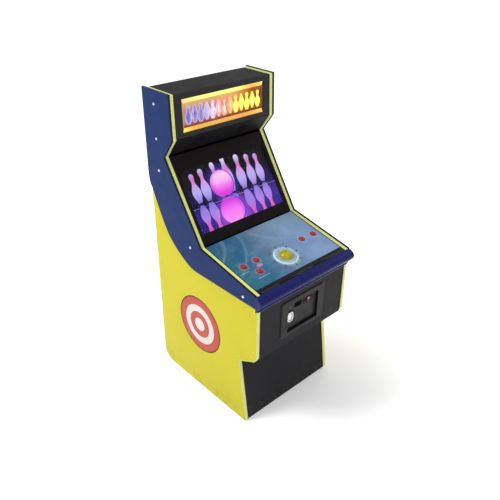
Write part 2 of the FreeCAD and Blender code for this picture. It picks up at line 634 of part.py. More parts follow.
for i, (bx, bs) in enumerate(BUTTONS):
    a = box("switch_%d" % i, "control", (bx - 14.0, bs - 5.2, -56.0), (bx + 14.0, bs + 5.2, -40.5))
    b = box("switch_cheek_%d" % i, "control", (bx - 13.0, bs - 4.0, -41.0), (bx - 8.0, bs + 4.0, -32.0))
    c = box("switch_cheek2_%d" % i, "control", (bx + 8.0, bs - 4.0, -41.0), (bx + 13.0, bs + 4.0, -32.0))
    e = box("switch_tab_%d" % i, "control", (bx - 10.0, bs - 2.0, -62.0), (bx - 8.0, bs + 2.0, -56.0))
    f = box("switch_tab2_%d" % i, "control", (bx + 6.0, bs - 2.0, -62.0), (bx + 8.0, bs + 2.0, -56.0))
    switches.append(fuse("microswitch_%d" % i, a, b, c, e, f))
keep(group("button_switches", *switches), "button_switches")

# ---------------------------------------------------------------- fixed hinge leaves with their pins
hinge_parts = []
for i, (a, b) in enumerate(((-300.0, -182.0), (-58.0, 58.0), (182.0, 300.0))):
    hinge_parts.append(cyl("fixed_knuckle_%d" % i, "control", a, HINGE_S, HINGE_N, d("knuckle_rad"), b - a, ALONG_X))
    hinge_parts.append(box("fixed_web_%d" % i, "control", (a, HINGE_S - 7.0, -1.5), (b, HINGE_S - 1.0, 0.2)))
hinge_parts.append(cyl("control_pin", "control", -302.0, HINGE_S, HINGE_N, d("hinge_pin_rad"), 604.0, ALONG_X))
hinge_parts.append(box("fixed_leaf", "control", (-300.0, HINGE_S - 6.8, -26.0), (300.0, HINGE_S - 5.2, 0.2)))
control_base = fuse("control_hinge_base", *hinge_parts)
REAR_X, REAR_Y = -308.0, 421.0
rear_parts = [cyl("rear_pin", "floor", REAR_X, REAR_Y, 500.0, 1.5, 640.0)]
for i, (a, b) in enumerate(((500.0, 560.0), (790.0, 850.0), (1080.0, 1140.0))):
    rear_parts.append(cyl("rear_fixed_%d" % i, "floor", REAR_X, REAR_Y, a, 3.0, b - a))
    rear_parts.append(box("rear_leaf_%d" % i, "floor", (-329.0, 418.0, a), (-308.0, 420.0, b)))
rear_base = fuse("rear_hinge_base", *rear_parts)
COIN_X, COIN_Y = 103.5, -374.0
coin_pin = fuse("coin_hinge_base", cyl("coin_pin", "floor", COIN_X, COIN_Y, 545.2, 1.5, 161.6),
                box("coin_ear_low", "floor", (COIN_X - 3.5, COIN_Y - 2.5, 543.6), (107.5, COIN_Y + 3.0, 545.6)),
                box("coin_ear_high", "floor", (COIN_X - 3.5, COIN_Y - 2.5, 706.4), (107.5, COIN_Y + 3.0, 708.4)))
keep(group("fixed_hinges", control_base, rear_base, coin_pin), "fixed_hinges")

# ---------------------------------------------------------------- coin door
fl = new_body("coin_flange")
sk = new_sketch(fl, "XY_Plane", "flange_face")
x0, x1, z0, z1, c = -163.5, 153.5, 520.0, 738.0, 12.0
loop(sk, [(x0 + c, z0), (x1 - c, z0), (x1, z0 + c), (x1, z1 - c), (x1 - c, z1), (x0 + c, z1), (x0, z1 - c), (x0, z0 + c)])
fp = pad(fl, sk, d("coin_face") - d("flange_face"))
place(fl, "coin")
doc.recompute()
rim = []
for i, e in enumerate(fp.Shape.Edges):
    bb = e.BoundBox
    if bb.ZLength < 1e-3 and abs(bb.ZMax - 6.0) < 1e-3:
        rim.append("Edge%d" % (i + 1))
ch = fl.newObject("PartDesign::Chamfer", "FlangeBevel")
ch.Base = (fp, rim)
ch.Size = 3.5
fl.Tip = ch
sk = new_sketch(fl, "XY_Plane", "flange_opening")
rect(sk, -117.5, 543.6, 107.5, 708.4)
pocket(fl, sk, 10.0, True)
sleeve = cut("coin_sleeve", box("sleeve_out", "coin", (-119.5, 541.6, -20.0), (109.5, 710.4, 0.3)),
             box("sleeve_in", "coin", (-117.5, 543.6, -21.0), (107.5, 708.4, 1.0)))
keep(fuse("coin_door_frame", fl, sleeve), "coin_door_frame")

# door leaf, with the slot plate, the button's window and the return cup
FACE = NUM["door_face"]
CUP_X, CUP_Z = -88.0, 623.0
FLAP_Y, FLAP_Z = FACE + 5.0, CUP_Z + 20.5


def oval(cx, cz, hx, hz, chamfer):
    return [(cx - hx + chamfer, cz - hz), (cx + hx - chamfer, cz - hz), ("arc", (cx + hx - chamfer * 0.293, cz - hz + chamfer * 0.293), (cx + hx, cz - hz + chamfer)),
            (cx + hx, cz + hz - chamfer), ("arc", (cx + hx - chamfer * 0.293, cz + hz - chamfer * 0.293), (cx + hx - chamfer, cz + hz)),
            (cx - hx + chamfer, cz + hz), ("arc", (cx - hx + chamfer * 0.293, cz + hz - chamfer * 0.293), (cx - hx, cz + hz - chamfer)),
            (cx - hx, cz - hz + chamfer), ("arc", (cx - hx + chamfer * 0.293, cz - hz + chamfer * 0.293), (cx - hx + chamfer, cz - hz))]


def coin_slab(name, outline, holes, y_front, thick, rects=()):
    b = new_body(name)
    s = new_sketch(b, "XY_Plane", name + "_face")
    loop(s, outline, False)
    for h_ in holes:
        loop(s, h_, False)
    for r_ in rects:
        rect(s, *r_)
    pad(b, s, thick)
    place(b, "floor")
    b.Placement = FreeCAD.Placement(V(0, y_front + thick, 0), FreeCAD.Rotation(V(1, 0, 0), 90))
    b.setExpression(".Placement.Base.y", None)
    b.setExpression(".Placement.Base.z", None)
    b.setExpression(".Placement.Base.x", None)
    return b


SLOT_X, SLOT_Z, PUSH_X, PUSH_Z = -32.0, 682.0, 41.0, 682.0
leaf_line = [(-115.0, 547.0), (102.0, 547.0), (102.0, 705.0), (-115.0, 705.0)]
CUP_HOLE = oval(CUP_X, CUP_Z, 17.2, 25.0, 12.0)
LOCK_X, LOCK_Z = -92.0, 686.0
door_leaf = coin_slab("coin_leaf", leaf_line, [CUP_HOLE], FACE, 3.0,
                      rects=[(SLOT_X - 2.4, SLOT_Z - 14.0, SLOT_X + 2.4, SLOT_Z + 14.0), (PUSH_X - 13.4, PUSH_Z - 10.4, PUSH_X + 13.4, PUSH_Z + 10.4)])
slot_plate = coin_slab("slot_plate", oval(SLOT_X, SLOT_Z, 24.0, 16.5, 3.0), [], FACE - 2.5, 2.6, rects=[(SLOT_X - 2.4, SLOT_Z - 14.0, SLOT_X + 2.4, SLOT_Z + 14.0)])
push_plate = coin_slab("push_plate", oval(PUSH_X, PUSH_Z, 36.0, 18.0, 4.0), [], FACE - 2.0, 2.1, rects=[(PUSH_X - 13.4, PUSH_Z - 10.4, PUSH_X + 13.4, PUSH_Z + 10.4)])
cup_rim = coin_slab("cup_rim", oval(CUP_X, CUP_Z, 25.0, 34.0, 18.0), [CUP_HOLE], FACE - 3.0, 3.1)
cup_out = coin_slab("cup_out", oval(CUP_X, CUP_Z, 19.6, 31.0, 12.0), [], FACE + 2.9, 26.0)
cup_in = coin_slab("cup_in", oval(CUP_X, CUP_Z, 17.2, 28.0, 11.0), [], FACE + 2.8, 24.0)
cup = cut("cup_pocket", cup_out, cup_in)
coin_knuckle = cyl("coin_knuckle", "floor", COIN_X, COIN_Y, 547.0, 2.6, 158.0)
door_all = fuse("coin_door_all", door_leaf, slot_plate, push_plate, cup_rim, cup, coin_knuckle)
lock_hole = cyl("coin_lock_hole", "floor", LOCK_X, FACE - 1.0, LOCK_Z, 8.6, 6.0, ALONG_Y)
pin_hole = cyl("coin_pin_hole", "floor", COIN_X, COIN_Y, 546.0, 1.55, 160.0)
flap_hole = cyl("flap_pin_hole", "floor", CUP_X - 20.0, FLAP_Y, FLAP_Z, 0.86, 40.0, ALONG_X)
keep(cut("coin_door", door_all, lock_hole, pin_hole, flap_hole), "coin_door")

lock_barrel = cyl("coin_lock_barrel", "floor", LOCK_X, FACE - 3.0, LOCK_Z, 8.3, 24.0, ALONG_Y)
lock_face = cyl("coin_lock_face", "floor", LOCK_X, FACE - 3.2, LOCK_Z, 9.6, 2.6, ALONG_Y)
lock_cam = box("coin_lock_cam", "floor", (LOCK_X - 17.0, FACE + 20.0, LOCK_Z - 6.0), (LOCK_X + 8.0, FACE + 22.0, LOCK_Z + 6.0))
key_slot = box("coin_key_slot", "floor", (LOCK_X - 0.7, FACE - 4.0, LOCK_Z - 3.6), (LOCK_X + 0.7, FACE + 4.0, LOCK_Z + 3.6))
keep(cut("coin_door_lock", fuse("coin_lock_all", lock_barrel, lock_face, lock_cam), key_slot), "coin_door_lock")

push = coin_slab("push_cap", oval(PUSH_X, PUSH_Z, 13.0, 10.0, 3.0), [], FACE - 7.0, 14.0)
push_stop = coin_slab("push_stop", oval(PUSH_X, PUSH_Z, 17.0, 12.5, 2.0), [], FACE + 3.4, 3.6)
keep(fuse("coin_reject_button", push, push_stop), "coin_reject_button")

# return flap, hung from a pin at the top of the cup
flap = coin_slab("flap_plate", oval(CUP_X, CUP_Z - 1.0, 15.6, 22.0, 10.5), [], FACE + 0.6, 2.2)
dish = coin_slab("flap_dish", oval(CUP_X, CUP_Z - 5.0, 11.0, 13.0, 9.0), [], FACE - 0.9, 1.6)
flap_bar = cyl("flap_bar", "floor", CUP_X - 15.0, FLAP_Y, FLAP_Z, 1.6, 30.0, ALONG_X)
flap_pin = cyl("flap_pin", "floor", CUP_X - 18.6, FLAP_Y, FLAP_Z, 0.8, 37.2, ALONG_X)
flap_web = box("flap_web", "floor", (CUP_X - 8.0, FACE + 2.5, FLAP_Z - 4.0), (CUP_X + 8.0, FLAP_Y + 0.5, FLAP_Z + 0.4))
keep(fuse("coin_return_flap", flap, dish, flap_bar, flap_pin, flap_web), "coin_return_flap")

# coin mechanism on the back of the door
m0 = box("mech_body", "floor", (-58.0, FACE + 3.0, 566.0), (64.0, FACE + 44.0, 664.0))
m1 = box("mech_chute", "floor", (-44.0, FACE + 3.0, 664.0), (-20.0, FACE + 30.0, 702.0))
m2 = box("mech_throat", "floor", (-35.0, FACE + 2.9, 600.0), (-29.0, FACE + 31.0, 703.0))
keep(cut("coin_mech", fuse("mech_all", m0, m1), m2), "coin_mech")

# cash box on its shelf
cb = cut("cash_box", box("cash_out", "floor", (-120.0, -228.0, 411.5), (120.0, -96.0, 501.5)),
         box("cash_in", "floor", (-117.0, -225.0, 414.5), (117.0, -99.0, 502.5)))
keep(cb, "cash_box")

# ---------------------------------------------------------------- battens behind the boards
battens = []
for i, sx in enumerate((-1, 1)):
    a, b = (-311.0, -291.0) if sx < 0 else (291.0, 311.0)
    battens += [
        box("batten_base_%d" % i, "floor", (a, -260.0, 80.0), (b, 330.0, 100.0)),
        box("batten_screen_%d" % i, "screen", (a if sx < 0 else 304.6, 30.0, -38.0), (-304.6 if sx < 0 else b, 450.0, -12.6)),
        box("batten_control_%d" % i, "control", (a, -380.0, -26.0), (b, -30.0, -5.0)),
        box("batten_coin_%d" % i, "floor", (a, -371.8, 500.0), (b, -351.8, 840.0)),
        box("batten_back_%d" % i, "floor", (a, 383.0, 1192.0), (b, 402.9, 1450.0)),
        box("batten_low_%d" % i, "floor", (a, 383.0, 121.0), (b, 402.9, 445.0)),
        box("batten_top_%d" % i, "floor", (a, 240.0, 1630.0), (b, 400.0, 1649.9)),
    ]
keep(group("corner_battens", *battens), "corner_battens")

# ---------------------------------------------------------------- electrics
ps = fuse("power_supply", box("supply_case", "floor", (-250.0, 120.0, 119.0), (-50.0, 230.0, 169.0)),
          box("supply_block", "floor", (-50.1, 130.0, 122.0), (-34.0, 220.0, 140.0)),
          box("supply_foot", "floor", (-256.0, 120.0, 119.0), (-245.0, 230.0, 122.0)))
keep(ps, "power_supply")
chips = [box("chip_a", "floor", (288.0, 20.0, 560.0), (297.0, 90.0, 630.0)), box("chip_b", "floor", (292.0, 110.0, 560.0), (297.0, 170.0, 600.0)),
         box("edge_socket", "floor", (284.0, -20.0, 700.0), (297.0, 180.0, 716.0)), box("chip_c", "floor", (292.0, 110.0, 620.0), (297.0, 150.0, 680.0))]
posts = [cyl("post_%d" % i, "floor", 298.4, yy, zz, 4.0, 12.6, ALONG_X) for i, (yy, zz) in enumerate(((-30.0, 520.0), (220.0, 520.0), (-30.0, 740.0), (220.0, 740.0)))]
keep(fuse("game_board", box("board_sheet", "floor", (296.9, -50.0, 500.0), (298.5, 240.0, 760.0)), *(chips + posts)), "game_board")

inlet_body = box("inlet_body", "floor", (178.0, 386.0, 228.0), (222.0, 418.0, 292.0))
inlet_flange = box("inlet_flange", "floor", (171.0, 418.0, 221.0), (229.0, 421.0, 299.0))
inlet_hole = box("inlet_hole", "floor", (187.0, 400.0, 234.0), (213.0, 422.0, 253.0))
rocker_hole = box("rocker_hole", "floor", (188.0, 396.0, 262.0), (212.0, 422.0, 286.0))
pins = [box("blade_%d" % i, "floor", (x - 1.2, 399.5, z - 2.2), (x + 1.2, 416.0, z + 2.2)) for i, (x, z) in enumerate(((193.0, 241.0), (207.0, 241.0), (200.0, 246.0)))]
rocker_seat = cyl("rocker_seat", "floor", 184.5, 411.5, 274.0, 1.56, 31.0, ALONG_X)
keep(fuse("power_inlet", cut("inlet_shell", fuse("inlet_all", inlet_body, inlet_flange), inlet_hole, rocker_hole, rocker_seat), *pins), "power_inlet")
rock = new_body("rocker")
sk = new_sketch(rock, "YZ_Plane", "rocker_side")
loop(sk, [(411.5, 264.9), (420.4, 264.0), ("arc", (418.9, 274.0), (421.2, 284.0)), (411.5, 283.1), ("arc", (406.5, 274.0), (411.5, 264.9))], False)
pad(rock, sk, 23.0)
rock.Placement = FreeCAD.Placement(V(188.5, 0, 0), FreeCAD.Rotation())
rocker_pin = cyl("rocker_pin", "floor", 185.0, 411.5, 274.0, 1.5, 30.0, ALONG_X)
keep(fuse("power_switch", rock, rocker_pin), "power_switch")

# ---------------------------------------------------------------- rear service door
rd = new_body("rear_leaf")
sk = new_sketch(rd, "XZ_Plane", "rear_face")
rect(sk, -306.0, d("rear_low"), 306.0, d("rear_high"))
for k in range(9):
    for zz in (500.0, 1050.0):
        rect(sk, -110.0, zz + 11.0 * k, 110.0, zz + 11.0 * k + 5.0)
circle(sk, 270.0, 820.0, 9.8)
pad(rd, sk, d("rear_board"))
rd.Placement = FreeCAD.Placement(V(0, 417.5, 0), FreeCAD.Rotation())
moving = []
for i, (a, b) in enumerate(((562.0, 622.0), (852.0, 912.0), (1018.0, 1078.0))):
    moving.append(cyl("rear_knuckle_%d" % i, "floor", REAR_X, REAR_Y, a, 3.0, b - a))
    moving.append(box("rear_moving_leaf_%d" % i, "floor", (-307.0, 417.2, a), (-282.0, 419.4, b)))
rear_bore = cyl("rear_bore", "floor", REAR_X, REAR_Y, 540.0, 1.55, 560.0)
notches = [box("rear_notch_%d" % i, "floor", (-312.5, 413.0, a - 2.0), (-302.0, 427.0, b + 2.0)) for i, (a, b) in enumerate(((500.0, 560.0), (790.0, 850.0), (1080.0, 1140.0)))]
keep(cut("rear_door", fuse("rear_all", rd, *moving), rear_bore, *notches), "rear_door")
rl = fuse("rear_lock_all", cyl("rear_lock_barrel", "floor", 270.0, 396.0, 820.0, 9.5, 25.5, ALONG_Y), cyl("rear_lock_face", "floor", 270.0, 417.8, 820.0, 12.0, 3.4, ALONG_Y),
          box("rear_cam", "floor", (262.0, 396.5, 812.0), (289.0, 399.0, 828.0)))
keep(cut("rear_door_lock", rl, box("rear_key", "floor", (269.2, 414.0, 816.0), (270.8, 424.0, 824.0))), "rear_door_lock")

# ---------------------------------------------------------------- feet, wheels, fasteners
foot = turned("foot_pattern", [(0.0, 0.0), (17.0, 0.0), (d("foot_rad"), 2.5), (d("foot_rad"), 6.0), (8.0, 13.0), (8.0, 15.0), (5.0, 15.0), (5.0, 86.0),
                               (11.0, 86.0), (11.0, 100.0), (0.0, 100.0)])
FX, FY0, FY1 = NUM["foot_x"], NUM["foot_front_y"], NUM["foot_rear_y"]
keep(copies("levelling_feet", foot, [FreeCAD.Placement(V(x, y, 0), FreeCAD.Rotation()) for x in (-FX, FX) for y in (FY0, FY1)]), "levelling_feet")
WX, WY, WZ = NUM["wheel_x"], NUM["wheel_y"], NUM["wheel_z"]
forks = []
for i, x in enumerate((-WX, WX)):
    top = box("fork_top_%d" % i, "floor", (x - 20.0, WY - 22.0, 97.0), (x + 20.0, WY + 22.0, 100.0))
    c1 = box("fork_in_%d" % i, "floor", (x - 20.0, WY - 14.0, WZ - 10.0), (x - 17.0, WY + 14.0, 97.5))
    c2 = box("fork_out_%d" % i, "floor", (x + 17.0, WY - 14.0, WZ - 10.0), (x + 20.0, WY + 14.0, 97.5))
    ax = cyl("fork_axle_%d" % i, "floor", x - 23.0, WY, WZ, d("axle_rad"), 46.0, ALONG_X)
    forks.append(fuse("fork_%d" % i, top, c1, c2, ax))
keep(group("wheel_forks", *forks), "wheel_forks")
for x, name in ((-WX, "left_rear_wheel"), (WX, "right_rear_wheel")):
    w = turned(name, [(5.06, -16.0), (11.0, -16.0), (11.0, -9.0), (26.0, -9.0), (28.0, -13.0), (33.0, -14.0), (36.3, -12.0), (d("wheel_rad"), -8.0),
                      (d("wheel_rad"), 8.0), (36.3, 12.0), (33.0, 14.0), (28.0, 13.0), (26.0, 9.0), (11.0, 9.0), (11.0, 16.0), (5.06, 16.0)],
               "floor", x, d("wheel_y"), d("wheel_z"), ALONG_X)
    keep(w, name)

bolt = screw_shape("bolt_pattern", 7.0, 3.6, 3.0, 0.01)
bolt2 = turned("bolt_head", [(0.0, 0.0), (7.2, 0.0), (7.2, 0.9), (6.2, 2.6), (3.6, 3.5), (0.0, 3.7)])
BOLTS = [(330.0, 1606.0), (329.0, 1435.0), (327.0, 1270.0), (96.0, 923.0), (-301.0, 827.0)]
OUT = NUM["nose_half"]
left_out = FreeCAD.Rotation(V(0, 1, 0), -90)
spots = [FreeCAD.Placement(V(-OUT, y, z), left_out) for y, z in BOLTS] + [FreeCAD.Placement(V(OUT, y, z), ALONG_X) for y, z in BOLTS]
keep(copies("overlay_bolts", bolt2, spots), "overlay_bolts")
plug = turned("panel_screw_head", [(0.0, 0.0), (4.4, 0.0), (4.2, 0.5), (2.6, 0.9), (0.0, 1.0)])
PLUGS = [(-364.0, 518.0), (-352.0, 482.0), (-262.0, 430.0), (-220.0, 345.0), (-195.0, 32.0), (-279.0, 38.0), (96.0, 32.0), (-367.0, 760.0)]
XP = NUM["half_out"]
spots = [FreeCAD.Placement(V(-XP, y, z), left_out) for y, z in PLUGS] + [FreeCAD.Placement(V(XP, y, z), ALONG_X) for y, z in PLUGS]
keep(copies("panel_screws", plug, spots), "panel_screws")

# ---------------------------------------------------------------- checks and export
doc.recompute()
bad = []
for obj in doc.Objects:
    if any(word in obj.State for word in ("Invalid", "Error")):
        bad.append("%s: state %s" % (obj.Label, obj.State))
labels = [p.Label for p in PARTS]
if len(labels) != len(set(labels)):
    bad.append("labels repeat")
if len(labels) > 60:
    bad.append("too many nodes: %d" % len(labels))
for p in PARTS:
    s = p.Shape
    if s.isNull() or not s.isValid() or not s.Solids:
        bad.append("%s: shape is null, open or invalid" % p.Label)
if bad:
    raise RuntimeError("; ".join(bad))
os.makedirs("parts", exist_ok=True)
whole = FreeCAD.BoundBox()
for p in PARTS:
    p.Shape.exportStep("parts/%s.step" % p.Label)
    whole.add(p.Shape.BoundBox)
    print("%-22s solids %2d  volume %10.1f cm3" % (p.Label, len(p.Shape.Solids), p.Shape.Volume / 1000.0))
print("nodes", len(PARTS), "box", whole)
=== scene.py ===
import bpy, bmesh, math, json
from mathutils import Vector, Matrix
from mathutils.geometry import tessellate_polygon


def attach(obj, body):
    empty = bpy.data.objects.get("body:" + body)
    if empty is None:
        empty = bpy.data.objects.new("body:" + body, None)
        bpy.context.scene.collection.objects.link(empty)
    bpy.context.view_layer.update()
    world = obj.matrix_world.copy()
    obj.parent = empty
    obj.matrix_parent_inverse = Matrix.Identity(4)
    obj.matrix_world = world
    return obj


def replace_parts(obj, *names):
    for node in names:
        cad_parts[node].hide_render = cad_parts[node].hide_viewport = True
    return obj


# Upright trackball arcade cabinet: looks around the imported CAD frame. Metres.
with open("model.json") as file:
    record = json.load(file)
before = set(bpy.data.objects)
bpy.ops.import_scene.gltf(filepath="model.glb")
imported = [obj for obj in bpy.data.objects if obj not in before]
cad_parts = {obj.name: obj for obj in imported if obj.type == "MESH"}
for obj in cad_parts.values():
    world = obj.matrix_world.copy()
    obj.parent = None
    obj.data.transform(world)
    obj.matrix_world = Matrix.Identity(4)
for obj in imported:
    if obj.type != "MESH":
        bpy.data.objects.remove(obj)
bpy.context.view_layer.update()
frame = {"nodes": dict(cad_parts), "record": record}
NODES = frame["nodes"]
scene = bpy.context.scene


# ------------------------------------------------------------------ frames of the sloping faces
class Face:
    def __init__(self, low, high):
        a = math.atan2(high[1] - low[1], high[0] - low[0])
        c, s = math.cos(a), math.sin(a)
        self.o = Vector((0, low[0], low[1])) / 1000.0
        self.u, self.s, self.n = Vector((1, 0, 0)), Vector((0, c, s)), Vector((0, -s, c))

    def p(self, x, s, n=0.0):
        return self.o + self.u * x + self.s * s + self.n * n


MARQUEE = Face((208.0, 1449.0), (215.0, 1667.0))
SCREEN = Face((18.0, 945.0), (282.0, 1349.0))
CONTROL = Face((-380.0, 866.0), (18.0, 945.0))
CONTROL.o = Vector((0, 0.018, 0.945))
BUTTONS = [(-0.242, -0.2182), (-0.153, -0.2131), (-0.196, -0.2855), (0.175, -0.2172), (0.262, -0.2182)]
BALL_S = -0.271


# ------------------------------------------------------------------ materials
def lin(r, g, b):
    out = []
    for v in (r, g, b):
        v /= 255.0
        out.append(v / 12.92 if v <= 0.04045 else ((v + 0.055) / 1.055) ** 2.4)
    return (*out, 1.0)


class Mat:
    def __init__(self, name, rough=0.4, spec=0.5, metal=0.0, coat=0.0, coat_rough=0.08):
        self.m = bpy.data.materials.new(name)
        self.m.use_nodes = True
        self.nt = self.m.node_tree
        self.nt.nodes.clear()
        self.out = self.nt.nodes.new("ShaderNodeOutputMaterial")
        self.b = self.nt.nodes.new("ShaderNodeBsdfPrincipled")
        self.nt.links.new(self.b.outputs[0], self.out.inputs[0])
        self.b.inputs["Roughness"].default_value = rough
        self.b.inputs["Specular IOR Level"].default_value = spec
        self.b.inputs["Metallic"].default_value = metal
        self.b.inputs["Coat Weight"].default_value = coat
        self.b.inputs["Coat Roughness"].default_value = coat_rough
        self.tc = self.nt.nodes.new("ShaderNodeTexCoord").outputs["Object"]

    def new(self, kind):
        return self.nt.nodes.new(kind)

    def put(self, sock, val):
        if hasattr(val, "is_output"):
            self.nt.links.new(val, sock)
        else:
            sock.default_value = val

    def noise(self, scale, detail=3.0, rough=0.55, vec=None, stretch=None, dist=0.0):
        n = self.new("ShaderNodeTexNoise")
        n.inputs["Scale"].default_value = scale
        n.inputs["Detail"].default_value = detail
        n.inputs["Roughness"].default_value = rough
        n.inputs["Distortion"].default_value = dist
        v = vec if vec is not None else self.tc
        if stretch is not None:
            mp = self.new("ShaderNodeMapping")
            mp.inputs["Scale"].default_value = stretch
            self.nt.links.new(v, mp.inputs["Vector"])
            v = mp.outputs[0]
        self.nt.links.new(v, n.inputs["Vector"])
        return n.outputs["Fac"]

    def ramp(self, fac, stops, interp="LINEAR"):
        r = self.new("ShaderNodeValToRGB")
        r.color_ramp.interpolation = interp
        el = r.color_ramp.elements
        while len(el) < len(stops):
            el.new(0.5)
        for e, (p, c) in zip(el, stops):
            e.position = p
            e.color = c
        self.put(r.inputs["Fac"], fac)
        return r.outputs["Color"]

    def span(self, val, a, b, lo=0.0, hi=1.0, smooth=False):
        r = self.new("ShaderNodeMapRange")
        if smooth:
            r.interpolation_type = "SMOOTHSTEP"
        self.put(r.inputs["Value"], val)
        for k, v in (("From Min", a), ("From Max", b), ("To Min", lo), ("To Max", hi)):
            r.inputs[k].default_value = v
        return r.outputs["Result"]

    def math(self, op, a, b=0.0, clamp=False):
        r = self.new("ShaderNodeMath")
        r.operation = op
        r.use_clamp = clamp
        self.put(r.inputs[0], a)
        self.put(r.inputs[1], b)
        return r.outputs[0]

    def mix(self, fac, a, b, mode="MIX"):
        r = self.new("ShaderNodeMix")
        r.data_type = "RGBA"
        r.blend_type = mode
        self.put(r.inputs[0], fac)
        self.put(r.inputs[6], a)
        self.put(r.inputs[7], b)
        return r.outputs[2]

    def along(self, direction, origin=(0, 0, 0)):
        """Distance along a direction from a point, in metres."""
        s = self.new("ShaderNodeVectorMath")
        s.operation = "SUBTRACT"
        self.nt.links.new(self.tc, s.inputs[0])
        s.inputs[1].default_value = origin
        d = self.new("ShaderNodeVectorMath")
        d.operation = "DOT_PRODUCT"
        self.nt.links.new(s.outputs[0], d.inputs[0])
        d.inputs[1].default_value = direction
        return d.outputs["Value"]

    def dist(self, point):
        d = self.new("ShaderNodeVectorMath")
        d.operation = "DISTANCE"
        self.nt.links.new(self.tc, d.inputs[0])
        d.inputs[1].default_value = point
        return d.outputs["Value"]

    def color(self, c):
        self.put(self.b.inputs["Base Color"], c)
        return self

    def rough(self, r):
        self.put(self.b.inputs["Roughness"], r)
        return self

    def glow(self, c, strength):
        self.put(self.b.inputs["Emission Color"], c)
        self.b.inputs["Emission Strength"].default_value = strength
        return self

    def bump(self, height, strength=0.2, distance=0.0002):
        b = self.new("ShaderNodeBump")
        b.inputs["Strength"].default_value = strength
        b.inputs["Distance"].default_value = distance
        self.put(b.inputs["Height"], height)
        self.nt.links.new(b.outputs[0], self.b.inputs["Normal"])
        return self


def shade(c, k):
    return (min(1, c[0] * k), min(1, c[1] * k), min(1, c[2] * k), 1.0)


def laminate(name, base, rough=0.3, vary=0.12, peel=900.0, scuff=True, coat=0.0, spec=0.4, sheen=1.0):
    m = Mat(name, rough, spec, coat=coat, coat_rough=0.2)
    big = m.noise(3.0, 4.0)
    col = m.ramp(big, [(0.3, shade(base, 1 - vary)), (0.7, shade(base, 1 + vary * 0.5))])
    speck = m.noise(420.0, 2.0)
    col = m.mix(m.span(speck, 0.66, 0.78, 0.0, 0.10), col, shade(base, 0.55))
    if scuff:
        z = m.along((0, 0, 1))
        low = m.math("MULTIPLY", m.span(z, 0.16, 0.0, 0.0, 1.0, True), m.span(m.noise(38.0, 6.0, 0.7), 0.45, 0.7, 0.0, 0.35))
        col = m.mix(low, col, lin(70, 66, 58))
        scr = m.noise(60.0, 4.0, 0.7, stretch=(1.0, 9.0, 0.8))
        col = m.mix(m.span(scr, 0.70, 0.76, 0.0, 0.10), col, shade(base, 1.5))
    m.color(col)
    m.rough(m.span(m.noise(14.0, 5.0, 0.6), 0.3, 0.75, rough * (1 - 0.2 * sheen), rough * (1 + 0.45 * sheen)))
    m.bump(m.noise(peel, 2.0), 0.10, 0.00012)
    return m.m


def plastic(name, base, rough=0.3, vary=0.08, grain=1600.0, bump=0.08, coat=0.0, spec=0.5):
    m = Mat(name, rough, spec, coat=coat)
    m.color(m.ramp(m.noise(45.0, 3.0), [(0.3, shade(base, 1 - vary)), (0.7, shade(base, 1 + vary))]))
    m.rough(m.span(m.noise(70.0, 4.0), 0.3, 0.7, rough * 0.8, rough * 1.3))
    m.bump(m.noise(grain, 2.0), bump, 0.0001)
    return m.m


def metal(name, base, rough=0.3, brushed=None, vary=0.1):
    m = Mat(name, rough, 0.5, metal=1.0)
    n = m.noise(220.0, 3.0, stretch=brushed or (1, 1, 1))
    m.color(m.ramp(n, [(0.3, shade(base, 1 - vary)), (0.7, shade(base, 1 + vary))]))
    m.rough(m.span(m.noise(60.0, 4.0), 0.3, 0.7, rough * 0.7, rough * 1.4))
    m.bump(n, 0.12 if brushed else 0.04, 0.0001)
    return m.m


def powder(name, base, rough=0.42, grain=1100.0, bump=0.35):
    m = Mat(name, rough, 0.22)
    n = m.noise(grain, 3.0)
    m.color(m.ramp(m.noise(12.0, 4.0), [(0.3, shade(base, 0.8)), (0.7, shade(base, 1.25))]))
    m.rough(m.span(m.noise(25.0, 4.0), 0.3, 0.7, rough * 0.85, rough * 1.2))
    m.bump(n, bump, 0.00025)
    return m.m


YELLOW = lin(181, 172, 16)
NAVY = lin(24, 42, 86)
BLACK = lin(21, 20, 21)
M = {}
M["yellow_laminate"] = laminate("yellow laminate", YELLOW, 0.34, 0.05, spec=0.14)
M["blue_laminate"] = laminate("navy laminate", NAVY, 0.36, 0.10, spec=0.05)
# painted shade: the nose gets a darker, more saturated copy of the navy laminate to match the weaker light on its front
# face
M["nose_blue"] = laminate("navy moulding painted shade", lin(18, 22, 84), 0.26, 0.12, scuff=False, spec=0.14)
M["black_edge"] = laminate("black edge paint", lin(12, 12, 15), 0.4, 0.15, scuff=False, spec=0.2)
M["black_laminate"] = laminate("black vinyl", BLACK, 0.46, 0.08, peel=520.0, spec=0.07, sheen=0.35)
M["front_vinyl"] = laminate("black vinyl, front", lin(29, 28, 31), 0.44, 0.10, peel=520.0, spec=0.09, sheen=0.4)
M["black_metal"] = powder("black powder coat", lin(19, 19, 20))
M["bezel_black"] = plastic("bezel black", lin(17, 13, 15), 0.5, 0.12, 700.0, 0.12, spec=0.06)
M["speaker_black"] = plastic("cone black", lin(22, 22, 22), 0.7, 0.2, 500.0, 0.4)
M["display_black"] = plastic("display chassis", lin(26, 26, 28), 0.5)
M["black_plastic"] = plastic("black moulded plastic", lin(26, 26, 27), 0.38, 0.12, 900.0, 0.2)
M["grey_plastic"] = plastic("grey moulded plastic", lin(96, 96, 98), 0.45, 0.08, 900.0, 0.2)
M["pale_trim"] = plastic("pale edge moulding", lin(194, 200, 122), 0.34, 0.06, 600.0, 0.06, spec=0.3)
M["red_plastic"] = plastic("red button plastic", lin(148, 34, 20), 0.26, 0.07, 1400.0, 0.03, coat=0.06, spec=0.35)
M["lit_red"] = None
M["bright_chrome"] = metal("bright plate", (0.86, 0.87, 0.9, 1), 0.12, vary=0.04)
M["satin_chrome"] = plastic("satin plate", (0.72, 0.73, 0.75, 1), 0.3, 0.05, 300.0, 0.05, spec=0.8)
